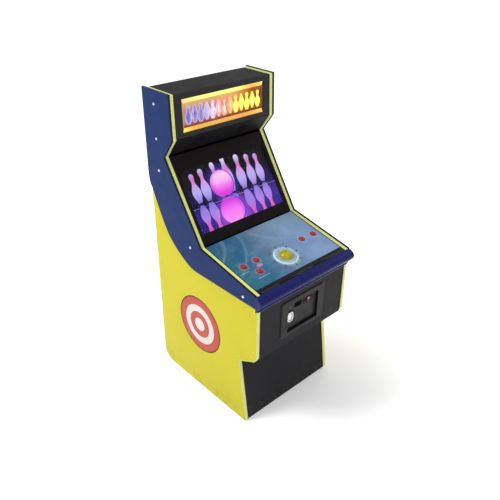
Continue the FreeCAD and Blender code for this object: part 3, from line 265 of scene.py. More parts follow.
M["steel"] = metal("zinc plate", (0.62, 0.62, 0.60, 1), 0.32, vary=0.12)
M["steel_case"] = metal("folded aluminium", (0.66, 0.67, 0.68, 1), 0.36, (1, 14, 1))
M["black_steel"] = metal("black oxide steel", (0.06, 0.06, 0.065, 1), 0.38)
M["wheel_rubber"] = plastic("wheel rubber", lin(30, 30, 30), 0.62, 0.2, 350.0, 0.5)
M["ball_yellow"] = None


def wood_board():
    m = Mat("bare fibreboard", 0.7, 0.3)
    f = m.noise(90.0, 8.0, 0.75)
    m.color(m.ramp(f, [(0.3, lin(128, 98, 64)), (0.55, lin(160, 128, 88)), (0.75, lin(184, 152, 110))]))
    m.bump(m.noise(700.0, 4.0), 0.4, 0.0003)
    return m.m


def lamp():
    m = Mat("lamp tube", 0.3, 0.4)
    c = m.ramp(m.noise(6.0), [(0.3, (1, 0.93, 0.8, 1)), (0.7, (1, 0.97, 0.9, 1))])
    m.color(c).glow(c, 3.0)
    return m.m


def glass():
    m = Mat("clear safety glass", 0.03, 0.5)
    m.b.inputs["Transmission Weight"].default_value = 1.0
    m.b.inputs["IOR"].default_value = 1.14
    m.color(m.ramp(m.noise(4.0), [(0.3, (0.90, 0.93, 0.93, 1)), (0.7, (0.94, 0.96, 0.96, 1))]))
    m.rough(m.span(m.noise(18.0, 5.0), 0.4, 0.8, 0.0, 0.04))
    return m.m


def circuit():
    m = Mat("circuit board", 0.4, 0.5, coat=0.3)
    b = m.new("ShaderNodeTexBrick")
    b.inputs["Scale"].default_value = 60.0
    b.inputs["Mortar Size"].default_value = 0.03
    b.inputs["Color1"].default_value = lin(18, 82, 44)
    b.inputs["Color2"].default_value = lin(14, 66, 36)
    b.inputs["Mortar"].default_value = lin(120, 140, 70)
    mp = m.new("ShaderNodeMapping")
    mp.inputs["Rotation"].default_value = (0, math.radians(90), 0)
    m.nt.links.new(m.tc, mp.inputs[0])
    m.nt.links.new(mp.outputs[0], b.inputs["Vector"])
    m.color(b.outputs["Color"])
    m.bump(b.outputs["Fac"], 0.3, 0.0002)
    return m.m


def ball_mat():
    m = Mat("polished ball", 0.22, 0.25, coat=0.05, coat_rough=0.1)
    n = m.noise(26.0, 5.0, 0.6, dist=2.2)
    m.color(m.ramp(n, [(0.3, lin(140, 126, 8)), (0.5, lin(154, 142, 16)), (0.72, lin(170, 160, 34))]))
    m.rough(m.span(m.noise(160.0, 3.0), 0.3, 0.7, 0.17, 0.26))
    return m.m


def ring_mat():
    m = Mat("pale moulded ring", 0.24, 0.4, coat=0.1)
    n = m.noise(34.0, 3.0)
    d = m.dist(CONTROL.p(0, BALL_S, 0.0))
    c = m.ramp(m.span(d, 0.036, 0.067), [(0.0, lin(150, 158, 120)), (0.10, lin(168, 184, 178)), (0.24, lin(118, 148, 168)), (0.62, lin(114, 146, 168)), (0.8, lin(172, 194, 204)), (1.0, lin(192, 208, 214))])
    m.color(m.mix(m.span(n, 0.35, 0.7, 0.0, 0.35), c, lin(184, 206, 222)))
    m.rough(m.span(n, 0.3, 0.7, 0.18, 0.3))
    m.bump(m.noise(900.0), 0.05, 0.0001)
    return m.m


def control_mat():
    """Printed overlay: soft sea blues, light sweeps, pale pools round the buttons, black front lip."""
    m = Mat("control overlay print", 0.3, 0.2)
    x = m.along((1, 0, 0))
    s = m.along(CONTROL.s, CONTROL.o)
    wob = m.noise(5.0, 3.0, 0.5)
    xx = m.math("ADD", x, m.span(wob, 0.3, 0.7, -0.05, 0.05))
    across = m.ramp(m.span(xx, -0.31, 0.31), [(0.0, lin(34, 90, 108)), (0.15, lin(32, 84, 120)), (0.29, lin(54, 100, 132)), (0.435, lin(82, 104, 132)), (0.58, lin(94, 120, 150)), (0.69, lin(102, 130, 168)), (0.82, lin(110, 136, 176)), (1.0, lin(110, 130, 166))])
    back = m.math("MULTIPLY", m.span(s, -0.19, -0.01, 0.0, 0.6, True), m.span(x, -0.02, 0.16, 0.0, 1.0, True))
    col = m.mix(back, across, lin(112, 148, 166))
    left_front = m.math("MULTIPLY", m.span(x, -0.12, -0.30, 0.0, 1.0, True), m.span(s, -0.24, -0.38, 0.0, 0.75, True))
    col = m.mix(left_front, col, lin(28, 92, 116))
    left_back = m.math("MULTIPLY", m.span(x, -0.02, -0.16, 0.0, 1.0, True), m.span(s, -0.18, -0.08, 0.0, 0.7, True))
    col = m.mix(left_back, col, lin(34, 80, 114))
    # light sweeps: bands along bent lines
    for k, (off, bend, width, amount) in enumerate(((-0.105, 1.3, 0.018, 0.09), (-0.035, -2.6, 0.020, 0.07), (-0.215, 2.4, 0.022, 0.10), (0.120, -1.2, 0.060, 0.04))):
        sq = m.math("MULTIPLY", s, s)
        line = m.math("SUBTRACT", m.math("SUBTRACT", x, m.math("MULTIPLY", sq, -bend * 2.0)), off)
        a = m.math("ABSOLUTE", line)
        col = m.mix(m.span(a, width, 0.0, 0.0, amount, True), col, lin(196, 218, 226))
    haze = m.noise(11.0, 5.0, 0.6, dist=1.0)
    col = m.mix(m.span(haze, 0.5, 0.75, 0.0, 0.16), col, lin(150, 186, 196))
    col = m.mix(m.span(haze, 0.48, 0.28, 0.0, 0.22), col, lin(40, 84, 104))
    near = None
    for bx, bs in BUTTONS:
        dd = m.dist(CONTROL.p(bx, bs, -0.002))
        near = dd if near is None else m.math("MINIMUM", near, dd)
    col = m.mix(m.span(near, 0.034, 0.016, 0.0, 0.30, True), col, lin(186, 150, 172))
    ball = m.dist(CONTROL.p(0, BALL_S, -0.002))
    col = m.mix(m.span(ball, 0.084, 0.067, 0.0, 0.26, True), col, lin(176, 206, 222))
    edge = m.math("LESS_THAN", s, -0.376)
    col = m.mix(edge, col, lin(7, 9, 14))
    side = m.math("GREATER_THAN", m.math("ABSOLUTE", x), 0.3045)
    col = m.mix(side, col, lin(20, 26, 40))
    low = m.math("LESS_THAN", m.along(CONTROL.n, CONTROL.o), -0.0027)
    col = m.mix(low, col, lin(70, 72, 74))
    m.color(col)
    m.rough(m.span(m.noise(30.0, 5.0), 0.35, 0.75, 0.2, 0.34))
    m.bump(m.noise(1400.0), 0.05, 0.0001)
    return m.m


def marquee_mat():
    m = Mat("backlit print", 0.25, 0.12, coat=0.04)
    x = m.along((1, 0, 0))
    s = m.along(MARQUEE.s, MARQUEE.o)
    base = m.ramp(m.span(x, -0.263, 0.263), [(0.0, lin(180, 132, 138)), (0.3, lin(186, 122, 124)), (0.5, lin(226, 128, 84)), (0.7, lin(206, 118, 36)), (0.88, lin(150, 76, 12)), (1.0, lin(108, 48, 6))])
    glow_top = m.math("MULTIPLY", m.span(s, 0.125, 0.165, 0.0, 0.75, True), m.span(x, 0.20, 0.02, 0.0, 1.0, True))
    col = m.mix(glow_top, base, lin(226, 182, 104))
    low = m.span(s, 0.078, 0.052, 0.0, 0.9, True)
    col = m.mix(low, col, lin(126, 46, 16))
    lampglow = m.math("ABSOLUTE", m.math("SUBTRACT", x, 0.03))
    col = m.mix(m.math("MULTIPLY", m.span(lampglow, 0.10, 0.0, 0.0, 0.35, True), m.span(s, 0.06, 0.10)), col, lin(255, 176, 120))
    col = m.mix(m.span(m.noise(24.0, 5.0), 0.5, 0.8, 0.0, 0.12), col, lin(255, 226, 160))
    m.color(shade_mix(m, col, 0.3)).glow(col, 0.72)
    m.bump(m.noise(500.0), 0.03, 0.0001)
    return m.m


def shade_mix(m, col, k=0.45):
    return m.mix(1.0 - k, col, (0, 0, 0, 1))


def printed(name, build, emit=0.0, rough=0.25, coat=0.1, dim=None, spec=None):
    m = Mat(name, rough, spec if spec is not None else (0.4 if not dim else 0.1), coat=0.0 if spec is not None else coat)
    c = build(m)
    if emit:
        m.color(shade_mix(m, c, dim or 0.35)).glow(c, emit)
    else:
        m.color(c)
    m.bump(m.noise(800.0), 0.03, 0.0001)
    return m.m


def lens():
    """Dark red push cap with a small bright middle painted on as a highlight."""
    m = Mat("dark red lens", 0.3, 0.3, coat=0.15)
    o = NODES["coin_reject_button"]
    xs, zs = [v.co.x for v in o.data.vertices], [v.co.z for v in o.data.vertices]
    d = m.dist(((min(xs) + max(xs)) / 2 - 0.001, min(v.co.y for v in o.data.vertices), (min(zs) + max(zs)) / 2 + 0.003))
    # painted highlight: colour runs from bright pink at a point just above the cap's middle out to dark red
    c = m.ramp(m.span(d, 0.0, 0.014), [(0.0, lin(214, 164, 172)), (0.28, lin(176, 96, 108)), (0.5, lin(84, 26, 34)), (1.0, lin(58, 18, 24))])
    m.color(m.mix(m.span(m.noise(160.0), 0.4, 0.7, 0.0, 0.2), c, lin(40, 12, 16)))
    m.bump(m.noise(500.0), 0.1, 0.0001)
    return m.m


M["lit_red"] = lens()
M["raw_board"] = wood_board()
M["lamp_white"] = lamp()
M["clear_glass"] = glass()
M["green_board"] = circuit()
M["ball_yellow"] = ball_mat()
M["pale_plastic"] = ring_mat()
M["control_art"] = control_mat()
M["marquee_print"] = marquee_mat()
M["brass_screw"] = metal("painted screw heads", (0.60, 0.52, 0.14, 1), 0.4)

SLOTS = {s["node"]: s["material_slot"] for s in frame["record"]["subparts"]}
for name, o in NODES.items():
    mat = M[SLOTS[name]]
    if name == "front_nose":
        mat = M["nose_blue"]
    if name == "overlay_bolts":
        mat = M["steel"]
    if name in ("coin_panel", "kick_panel", "coin_box_floor"):
        mat = M["front_vinyl"]
    o.data.materials.clear()
    o.data.materials.append(mat)
    for p in o.data.polygons:
        p.material_index = 0

for name in ("left_side_overlay", "right_side_overlay"):
    o = NODES[name]
    o.data.materials.append(M["black_edge"])
    for p in o.data.polygons:
        if abs(p.normal.x) < 0.5:
            p.material_index = 1

for name, s in (("left_side_panel", 1), ("right_side_panel", -1)):
    o = NODES[name]
    o.data.materials.append(M["black_edge"])
    for p in o.data.polygons:
        if p.normal.x * s > 0.5:
            p.material_index = 1

battens = NODES["corner_battens"]
battens.data.materials.append(M["black_edge"])
for p in battens.data.polygons:
    if p.center.z > 1.2:
        p.material_index = 1

# coin door: the slot plate area is painted near-black as painted shade for the coin-entry pocket, and the push plate is
# dark red; the frame's lower and right chamfers catch the light and get a lighter grey as a painted highlight
door = NODES["coin_door"]
door.data.materials.append(plastic("coin slot painted shade", lin(3, 3, 3), 0.3, 0.1, 900.0, 0.1, spec=0.01))
door.data.materials.append(plastic("push plate", lin(36, 14, 18), 0.36, 0.2, 900.0, 0.1, spec=0.05))
push = NODES["coin_reject_button"]
px = sum(v.co.x for v in push.data.vertices) / len(push.data.vertices)
pz = sum(v.co.z for v in push.data.vertices) / len(push.data.vertices)
for p in door.data.polygons:
    c = p.center
    if abs(c.x + 0.032) < 0.0245 and abs(c.z - 0.682) < 0.017 and c.y < -0.3762:
        p.material_index = 1
    if abs(c.x - px) < 0.0365 and abs(c.z - pz) < 0.0185 and c.y < -0.3762:
        p.material_index = 2
hoop = NODES["coin_door_frame"]
hoop.data.materials.append(powder("frame chamfer painted highlight", lin(74, 74, 78), 0.36))
# painted highlight: front chamfer faces that point down or right take the lighter grey
for p in hoop.data.polygons:
    n = p.normal
    if n.y < -0.2 and (n.x > 0.2 or n.z < -0.2):
        p.material_index = 1

# soft edges on boards, mouldings and metalwork; the meshes stay as packed
BEVELS = {
    "left_side_panel": 0.0010, "right_side_panel": 0.0010, "left_side_overlay": 0.0022, "right_side_overlay": 0.0022,
    "left_edge_trim": 0.0013, "right_edge_trim": 0.0013, "top_panel": 0.0008, "upper_back_panel": 0.0012, "kick_panel": 0.0008,
    "coin_box_floor": 0.0008, "coin_panel": 0.0008, "lower_back_panel": 0.0010, "rear_door": 0.0012, "marquee_frame": 0.0008,
    "screen_bezel": 0.0010, "speaker_panel": 0.0006, "coin_door_frame": 0.0007, "coin_door": 0.0005, "cash_box": 0.0004,
    "control_plate": 0.0003, "power_inlet": 0.0006, "base_panel": 0.0008, "power_supply": 0.0005, "coin_return_flap": 0.0003,
}
for name, width in BEVELS.items():
    o = NODES[name]
    w = o.modifiers.new("weld", "WELD")
    w.merge_threshold = 0.000002
    b = o.modifiers.new("bevel", "BEVEL")
    b.width = width
    b.segments = 2
    b.limit_method = "ANGLE"
    b.angle_limit = math.radians(32)
    b.use_clamp_overlap = True
    b.harden_normals = False


# ------------------------------------------------------------------ mesh helpers
def make(name, verts, faces, body, mats, idx=None, smooth=False, weld=True):
    me = bpy.data.meshes.new(name)
    me.from_pydata([tuple(v) for v in verts], [], faces)
    for m in mats:
        me.materials.append(m)
    if idx:
        me.polygons.foreach_set("material_index", idx)
    bm = bmesh.new()
    bm.from_mesh(me)
    if weld:
        bmesh.ops.remove_doubles(bm, verts=bm.verts, dist=1e-7)
    bmesh.ops.recalc_face_normals(bm, faces=bm.faces)
    bm.to_mesh(me)
    bm.free()
    me.polygons.foreach_set("use_smooth", [smooth] * len(me.polygons))
    o = bpy.data.objects.new(name, me)
    scene.collection.objects.link(o)
    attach(o, body)
    return o


class Print:
    """Thin printed films: closed flat solids laid on a face, each in its own colour."""

    def __init__(self, name, at):
        self.name, self.at = name, at
        self.v, self.f, self.i, self.m = [], [], [], []

    def poly(self, pts, mat, lift, thick=0.00003):
        pts = [p for i, p in enumerate(pts) if (Vector(p) - Vector(pts[i - 1])).length > 1e-6]
        area = sum(pts[i - 1][0] * pts[i][1] - pts[i][0] * pts[i - 1][1] for i in range(len(pts)))
        if area < 0:
            pts = pts[::-1]
        if mat not in self.m:
            self.m.append(mat)
        k = self.m.index(mat)
        base, n = len(self.v), len(pts)
        for h in (lift, lift + thick):
            self.v += [self.at(p[0], p[1], h) for p in pts]
        for t in tessellate_polygon([[Vector((p[0], p[1], 0)) for p in pts]]):
            self.f.append((base + t[2], base + t[1], base + t[0]))
            self.f.append((base + n + t[0], base + n + t[1], base + n + t[2]))
            self.i += [k, k]
        for i in range(n):
            j = (i + 1) % n
            self.f.append((base + i, base + j, base + n + j, base + n + i))
            self.i.append(k)

    def done(self, body):
        return make(self.name, self.v, self.f, body, self.m, self.i, weld=False)


def grow(pts, dist):
    """A closed outline moved outwards."""
    area = sum(pts[i - 1][0] * pts[i][1] - pts[i][0] * pts[i - 1][1] for i in range(len(pts)))
    sign = 1.0 if area > 0 else -1.0
    out = []
    for i, p in enumerate(pts):
        a, b = Vector(pts[i - 1]), Vector(pts[(i + 1) % len(pts)])
        t = (b - a)
        if t.length < 1e-9:
            out.append(p)
            continue
        t.normalize()
        out.append((p[0] + sign * t.y * dist, p[1] - sign * t.x * dist))
    return out


def spline(pts, n=8, closed=True):
    """Catmull-Rom through the points."""
    out = []
    m = len(pts)
    rng = range(m) if closed else range(m - 1)
    for i in rng:
        p0 = pts[(i - 1) % m] if closed or i > 0 else pts[0]
        p1, p2 = pts[i], pts[(i + 1) % m]
        p3 = pts[(i + 2) % m] if closed or i + 2 < m else pts[-1]
        for k in range(n):
            t = k / n
            out.append(tuple(0.5 * (2 * p1[a] + (p2[a] - p0[a]) * t + (2 * p0[a] - 5 * p1[a] + 4 * p2[a] - p3[a]) * t * t
                                    + (3 * p1[a] - p0[a] - 3 * p2[a] + p3[a]) * t ** 3) for a in (0, 1)))
    if not closed:
        out.append(tuple(pts[-1]))
    return out


PIN = [(0.00, 0.40), (0.015, 0.46), (0.10, 0.62), (0.20, 0.86), (0.30, 0.98), (0.36, 1.0), (0.45, 0.93), (0.55, 0.68), (0.63, 0.45), (0.70, 0.36),
       (0.76, 0.37), (0.84, 0.47), (0.90, 0.52), (0.955, 0.44), (0.99, 0.22), (1.0, 0.0)]


def pin(base, top, half, lo=0.0, hi=1.0):
    """Outline of a skittle between two points, or a slice of it."""
    b, t = Vector(base), Vector(top)
    ax = t - b
    side = Vector((-ax.y, ax.x)).normalized()
    fine = spline(PIN, 4, False)
    run = [q for q in fine if lo <= q[0] <= hi]
    left = [b + ax * q[0] + side * (q[1] * half) for q in run]
    right = [b + ax * q[0] - side * (q[1] * half) for q in run]
    return [tuple(p) for p in left + right[::-1]]


def disc(cx, cy, r, n=48, ry=None, a0=0.0, a1=2 * math.pi):
    ry = ry or r
    full = abs(a1 - a0 - 2 * math.pi) < 1e-6
    m = n if full else n + 1
    return [(cx + r * math.cos(a0 + (a1 - a0) * k / n), cy + ry * math.sin(a0 + (a1 - a0) * k / n)) for k in range(m)]


def clip(pts, keep):
    """Keep the part of an outline where keep(p) >= 0; keep is linear."""
    out = []
    for i, p in enumerate(pts):
        q = pts[i - 1]
        a, b = keep(q), keep(p)
        if (a < 0) != (b < 0):
            t = a / (a - b)
            out.append((q[0] + (p[0] - q[0]) * t, q[1] + (p[1] - q[1]) * t))
        if b >= 0:
            out.append(p)
    return out


def lathe(name, profile, at, body, mat, n=72, extra=()):
    """Turned piece about the axis of at(x, s, n): profile is (radius, height) in metres."""
    verts, faces = [], []
    for r, h in profile:
        if r < 1e-9:
            verts.append(at(0, 0, h))
        else:
            verts += [at(r * math.cos(2 * math.pi * k / n), r * math.sin(2 * math.pi * k / n), h) for k in range(n)]
    start, idx = 0, []
    starts = []
    for r, h in profile:
        starts.append(start)
        start += 1 if r < 1e-9 else n
    for i in range(len(profile)):
        j = (i + 1) % len(profile)
        if j == 0 and profile[0][0] < 1e-9:
            continue
        a, b = starts[i], starts[j]
        ra, rb = profile[i][0], profile[j][0]
        for k in range(n):
            k2 = (k + 1) % n
            if ra < 1e-9 and rb < 1e-9:
                continue
            if ra < 1e-9:
                faces.append((a, b + k2, b + k))
            elif rb < 1e-9:
                faces.append((a + k, a + k2, b))
            else:
                faces.append((a + k, a + k2, b + k2, b + k))
    o = make(name, verts, faces, body, [mat], smooth=True)
    es = o.modifiers.new("split", "EDGE_SPLIT")
    es.split_angle = math.radians(40)
    return o


# ------------------------------------------------------------------ side art: five stacked discs in outline, red and white
def side_art(name, x):
    n = 1.0 if x > 0 else -1.0
    pr = Print(name, lambda u, v, h: Vector((x + n * h, u, v)))
    tone = lambda a, b, sc=9.0: (lambda m: m.ramp(m.noise(sc, 3.0), [(0.3, a), (0.7, b)]))
    dark = printed(name + " outline", tone(lin(60, 36, 14), lin(76, 46, 20), 60.0), spec=0.1)
    red = printed(name + " red", tone(lin(164, 62, 46), lin(170, 74, 62)), spec=0.12)
    wht = printed(name + " white", tone(lin(190, 184, 176), lin(202, 192, 192)), spec=0.12)
    k = 0.00004
    for i, (r, mat) in enumerate(((0.172, dark), (0.164, red), (0.120, wht), (0.080, red), (0.040, wht))):
        pr.poly(disc(0.06, 0.45, r, 64, r), mat, (i + 1) * k)
    return pr.done("cabinet")


side_art("side_print_left", -0.3300)
side_art("side_print_right", 0.3300)


# ------------------------------------------------------------------ marquee print: strips and a row of skittles and diamonds
def marquee_art():
    pr = Print("marquee_art", lambda u, v, h: MARQUEE.p(u, v, -0.006 + h))
    xs = lambda m: m.span(m.along((1, 0, 0)), -0.263, 0.263)
    top = printed("marquee top strip", lambda m: m.ramp(xs(m), [(0.0, lin(232, 202, 112)), (0.2, lin(246, 226, 120)), (0.62, lin(255, 250, 128)), (0.84, lin(226, 172, 66)), (0.96, lin(238, 190, 90)), (1.0, lin(250, 226, 150))]), 0.92)
    low = printed("marquee low strip", lambda m: m.ramp(xs(m), [(0.0, lin(250, 226, 70)), (0.12, lin(222, 168, 56)), (0.5, lin(222, 164, 66)), (0.8, lin(230, 156, 48)), (1.0, lin(250, 200, 104))]), 0.82)
    side_l = printed("marquee left strip", lambda m: m.ramp(m.span(m.along((0, 0, 1)), 1.47, 1.64), [(0.0, lin(170, 110, 60)), (1.0, lin(206, 170, 110))]), 0.6)
    side_r = printed("marquee right strip", lambda m: m.ramp(m.span(m.along((0, 0, 1)), 1.47, 1.64), [(0.0, lin(110, 52, 20)), (1.0, lin(150, 80, 26))]), 0.45)
    fill = printed("marquee motif", lambda m: m.mix(m.span(m.noise(40.0, 3.0), 0.4, 0.7, 0.0, 0.25), m.ramp(xs(m), [
        (0.0, lin(104, 92, 176)), (0.22, lin(120, 108, 186)), (0.36, lin(186, 170, 214)), (0.45, lin(236, 120, 120)), (0.53, lin(240, 96, 84)),
        (0.62, lin(255, 214, 70)), (0.8, lin(252, 238, 40)), (1.0, lin(244, 236, 30))]), lin(255, 255, 255)), 0.95)
    halo = printed("marquee motif halo", lambda m: m.ramp(xs(m), [(0.0, lin(206, 190, 226)), (0.35, lin(232, 214, 226)), (0.5, lin(250, 150, 130)),
                                                              (0.65, lin(255, 200, 70)), (1.0, lin(150, 110, 20))]), 0.7)
    core = printed("marquee motif core", lambda m: m.ramp(xs(m), [(0.0, lin(86, 78, 168)), (0.2, lin(104, 92, 180)), (0.4, lin(236, 226, 250)), (0.6, lin(255, 226, 120)), (1.0, lin(255, 255, 110))]), 0.9)
    k = 0.00004
    hw, lo, hi = 0.2632, 0.0268, 0.1872
    pr.poly([(-hw, hi), (hw, hi), (hw - 0.008, hi - 0.020), (-hw + 0.008, hi - 0.020)], top, k)
    pr.poly([(-hw, lo), (hw, lo), (hw - 0.008, lo + 0.021), (-hw + 0.008, lo + 0.021)], low, k)
    pr.poly([(-hw, lo), (-hw + 0.008, lo + 0.021), (-hw + 0.008, hi - 0.020), (-hw, hi)], side_l, k)
    pr.poly([(hw, lo), (hw - 0.008, lo + 0.021), (hw - 0.008, hi - 0.020), (hw, hi)], side_r, k)
    pr.poly([(-hw + 0.008, lo + 0.021), (hw - 0.008, lo + 0.021), (hw - 0.009, lo + 0.0235), (-hw + 0.009, lo + 0.0235)], side_r, 2 * k)
    count = 13
    for i in range(count):
        cx = -0.226 + 0.452 * i / (count - 1)
        if i % 2 == 0:
            shape = pin((cx, 0.062), (cx, 0.148), 0.0185)
            inner = pin((cx, 0.070), (cx, 0.138), 0.0062)
        else:
            shape = [(cx - 0.004, 0.147), (cx + 0.004, 0.147), (cx + 0.0172, 0.112), (cx + 0.0172, 0.098), (cx + 0.004, 0.063), (cx - 0.004, 0.063), (cx - 0.0172, 0.098), (cx - 0.0172, 0.112)]
            inner = [(cx, 0.128), (cx + 0.0055, 0.104), (cx, 0.080), (cx - 0.0055, 0.104)]
        pr.poly(grow(shape, 0.0024), halo, 3 * k)
        pr.poly(shape, fill, 4 * k)
        pr.poly(inner, core, 5 * k)
    return pr.done("cabinet")


marquee_art()


# ------------------------------------------------------------------ the picture on the display, under the glass
def picture():
    pr = Print("screen_picture", lambda u, v, h: SCREEN.p(u, v, -0.0124 + h))
    sv = lambda m: m.along(SCREEN.s, SCREEN.o)

    def ground(m):
        s = sv(m)
        x = m.along((1, 0, 0))
        c = m.ramp(m.span(s, 0.06, 0.40), [(0.0, lin(50, 26, 138)), (0.22, lin(58, 38, 158)), (0.37, lin(40, 22, 110)), (0.42, lin(20, 10, 56)), (0.52, lin(28, 16, 74)), (0.66, lin(20, 11, 48)), (0.80, lin(10, 6, 18)), (1.0, lin(6, 4, 8))])
        right = m.math("MULTIPLY", m.span(x, 0.02, 0.27, 0.0, 1.0, True), m.span(s, 0.25, 0.15, 0.0, 0.55, True))
        c = m.mix(right, c, lin(66, 46, 150))
        cold = m.math("MULTIPLY", m.span(x, -0.10, -0.28, 0.0, 1.0, True), m.span(s, 0.17, 0.08, 0.0, 0.5, True))
        c = m.mix(cold, c, lin(46, 22, 104))
        for bx, bs, rr, amt, tint in ((-0.045, 0.095, 0.145, 0.85, (176, 84, 236)), (-0.055, 0.272, 0.120, 0.7, (84, 60, 200)), (0.10, 0.11, 0.09, 0.4, (110, 70, 220))):
            c = m.mix(m.span(m.dist(SCREEN.p(bx, bs, -0.0124)), rr, rr * 0.45, 0.0, amt, True), c, lin(*tint))
        blob = m.noise(5.0, 1.0, 0.4)
        return m.mix(m.math("MULTIPLY", m.span(blob, 0.45, 0.7, 0.0, 0.22), m.span(s, 0.21, 0.10, 0.0, 1.0, True)), c, lin(120, 90, 214))

    def pins(m):
        s = sv(m)
        c = m.ramp(m.span(s, 0.05, 0.40), [(0.0, lin(232, 176, 240)), (0.05, lin(236, 90, 186)), (0.12, lin(216, 112, 222)), (0.25, lin(172, 136, 242)), (0.38, lin(146, 128, 236)), (0.44, lin(104, 84, 196)),
                                          (0.50, lin(158, 144, 244)), (0.62, lin(200, 186, 255)), (0.74, lin(212, 170, 246)), (0.81, lin(244, 116, 190)), (0.87, lin(206, 140, 226)), (0.92, lin(206, 196, 252)), (1.0, lin(250, 246, 255))])
        n = m.noise(16.0, 2.0)
        return m.mix(m.span(n, 0.45, 0.75, 0.0, 0.35), c, lin(246, 170, 246))

    def shadow(m):
        return m.ramp(m.noise(30.0), [(0.3, lin(22, 10, 46)), (0.7, lin(36, 18, 74))])

    def rim(m):
        s = sv(m)
        return m.ramp(m.span(s, 0.05, 0.40), [(0.0, lin(110, 60, 190)), (0.4, lin(70, 54, 170)), (0.46, lin(96, 76, 190)), (0.8, lin(140, 90, 200)), (1.0, lin(150, 140, 210))])

    def bigball(m):
        c = m.ramp(m.span(sv(m), 0.200, 0.345), [(0.0, lin(212, 52, 206)), (0.2, lin(232, 70, 226)), (0.42, lin(248, 126, 244)), (0.62, lin(255, 184, 250)), (0.85, lin(255, 206, 246)), (1.0, lin(244, 150, 236))])
        d = m.dist(SCREEN.p(-0.050, 0.285, -0.0124))
        return m.mix(m.span(d, 0.045, 0.080, 0.0, 0.7, True), c, lin(224, 70, 218))

    def lowball(m):
        c = m.ramp(m.span(sv(m), 0.058, 0.200), [(0.0, lin(255, 150, 240)), (0.45, lin(252, 122, 246)), (0.75, lin(232, 76, 232)), (1.0, lin(206, 54, 206))])
        d = m.dist(SCREEN.p(-0.060, 0.115, -0.0124))
        return m.mix(m.span(d, 0.050, 0.092, 0.0, 0.65, True), c, lin(178, 66, 226))

    def line(m):
        return m.ramp(m.noise(9.0), [(0.35, lin(120, 104, 196)), (0.6, lin(206, 196, 240))])

    def edge(m):
        return m.ramp(m.noise(9.0), [(0.3, lin(120, 70, 214)), (0.7, lin(140, 84, 232))])

    e = 0.9
    g, p, sh = printed("screen ground", ground, 0.85, 0.35, 0.0, 0.04), printed("screen skittles", pins, e, 0.35, 0.0, 0.04), printed("screen shadow", shadow, 0.5, 0.35, 0.0, 0.04)
    rm, bb, lb = printed("screen skittle rims", rim, 0.7, 0.35, 0.0, 0.04), printed("screen ball", bigball, 1.0, 0.35, 0.0, 0.04), printed("screen ball below", lowball, 1.05, 0.35, 0.0, 0.04)
    ln, eg = printed("screen lane line", line, 0.7, 0.35, 0.0, 0.04), printed("screen ball edge", edge, 0.7, 0.35, 0.0, 0.04)
    k = 0.000012
    t = 0.000008
    add = lambda pts, mat, i: pr.poly(pts, mat, 0.00002 + k * i, t)
    X0, X1, S0, S1 = -0.292, 0.292, 0.059, 0.399
    add([(X0, S0), (X1, S0), (X1, S1), (X0, S1)], g, 0)
    inside = lambda pts: clip(clip(clip(pts, lambda q: q[1] - S0), lambda q: q[0] - X0), lambda q: X1 - q[0])
    LANE = 0.190
    tall = [((-0.226, 0.214), (-0.225, 0.368), 0.0265), ((-0.168, 0.209), (-0.163, 0.380), 0.028), ((0.074, 0.208), (0.088, 0.396), 0.030),
            ((0.146, 0.210), (0.156, 0.380), 0.028), ((0.211, 0.210), (0.216, 0.369), 0.0265), ((-0.078, 0.214), (-0.081, 0.394), 0.027), ((-0.004, 0.214), (-0.006, 0.440), 0.032)]
    top_cut = lambda q: 0.3965 - q[1]
    order = [5, 6, 0, 1, 2, 3, 4]
    for j, idx in enumerate(order):
        b, tp, w = tall[idx]
        shape = clip(pin(b, tp, w), top_cut)
        mirror = inside([(q[0], 0.4145 - q[1]) for q in shape])
        add(grow(mirror, 0.0018), rm, 1)
        add(mirror, p, 2)
        add(grow(shape, 0.0016), rm, 3)
        add(shape, p, 4)
        add(disc(b[0], b[1] - 0.004, w * 0.75, 24, 0.0035), sh, 5)
    add(inside(disc(-0.046, 0.124, 0.082, 72, 0.074)), eg, 6)
    add(inside(disc(-0.053, 0.124, 0.0770, 72, 0.0725)), lb, 7)
    add(disc(-0.056, 0.272, 0.0755, 80, 0.0745), eg, 8)
    add(disc(-0.059, 0.273, 0.0725, 80, 0.0720), bb, 9)
    add(disc(-0.058, 0.202, 0.020, 24, 0.0030), sh, 10)
    add([(X0, LANE - 0.0007), (X1, LANE - 0.0007), (X1, LANE + 0.0009), (X0, LANE + 0.0009)], ln, 11)
    return pr.done("cabinet")


picture()


# ------------------------------------------------------------------ small prints on the control panel
def control_marks():
    pr = Print("control_marks", lambda u, v, h: CONTROL.p(u, v, -0.002 + h))
    pale = printed("control pale marks", lambda m: m.ramp(m.noise(50.0), [(0.3, lin(140, 172, 196)), (0.7, lin(170, 194, 210))]))
    rose = printed("control rose marks", lambda m: m.ramp(m.noise(50.0), [(0.3, lin(138, 112, 150)), (0.7, lin(152, 126, 162))]))
    dark = printed("control dark marks", lambda m: m.ramp(m.noise(50.0), [(0.3, lin(24, 40, 62)), (0.7, lin(36, 54, 80))]))
    k = 0.00004
    # pale dashes beside the buttons, small arrowheads round the ball
    for x, s, w in ((-0.200, -0.3220, 0.038), (-0.268, -0.2560, 0.028)):
        pr.poly([(x - w, s - 0.0010), (x + w, s - 0.0010), (x + w, s + 0.0012), (x - w, s + 0.0012)], pale, k)
    pr.poly(disc(-0.164, -0.2500, 0.020, 32, 0.012), rose, k)
    for j in range(8):
        a = math.radians(45 * j)
        c, sn = math.cos(a), math.sin(a)
        pts = [(-0.0022, 0.0690), (0.0022, 0.0690), (0.0018, 0.0880), (-0.0018, 0.0880)]
        pr.poly([(c * q[1] - sn * q[0], BALL_S + sn * q[1] + c * q[0]) for q in pts], dark, k * 0.5)
    return pr.done("control_panel")


control_marks()

# ------------------------------------------------------------------ smooth turned pieces in place of the coarse ones
c_at = lambda x0, s0, n0: (lambda x, s, n: CONTROL.p(x0 + x, s0 + s, n0 + n))


def arc_profile(pts, n=5):
    return spline(pts, n, False)


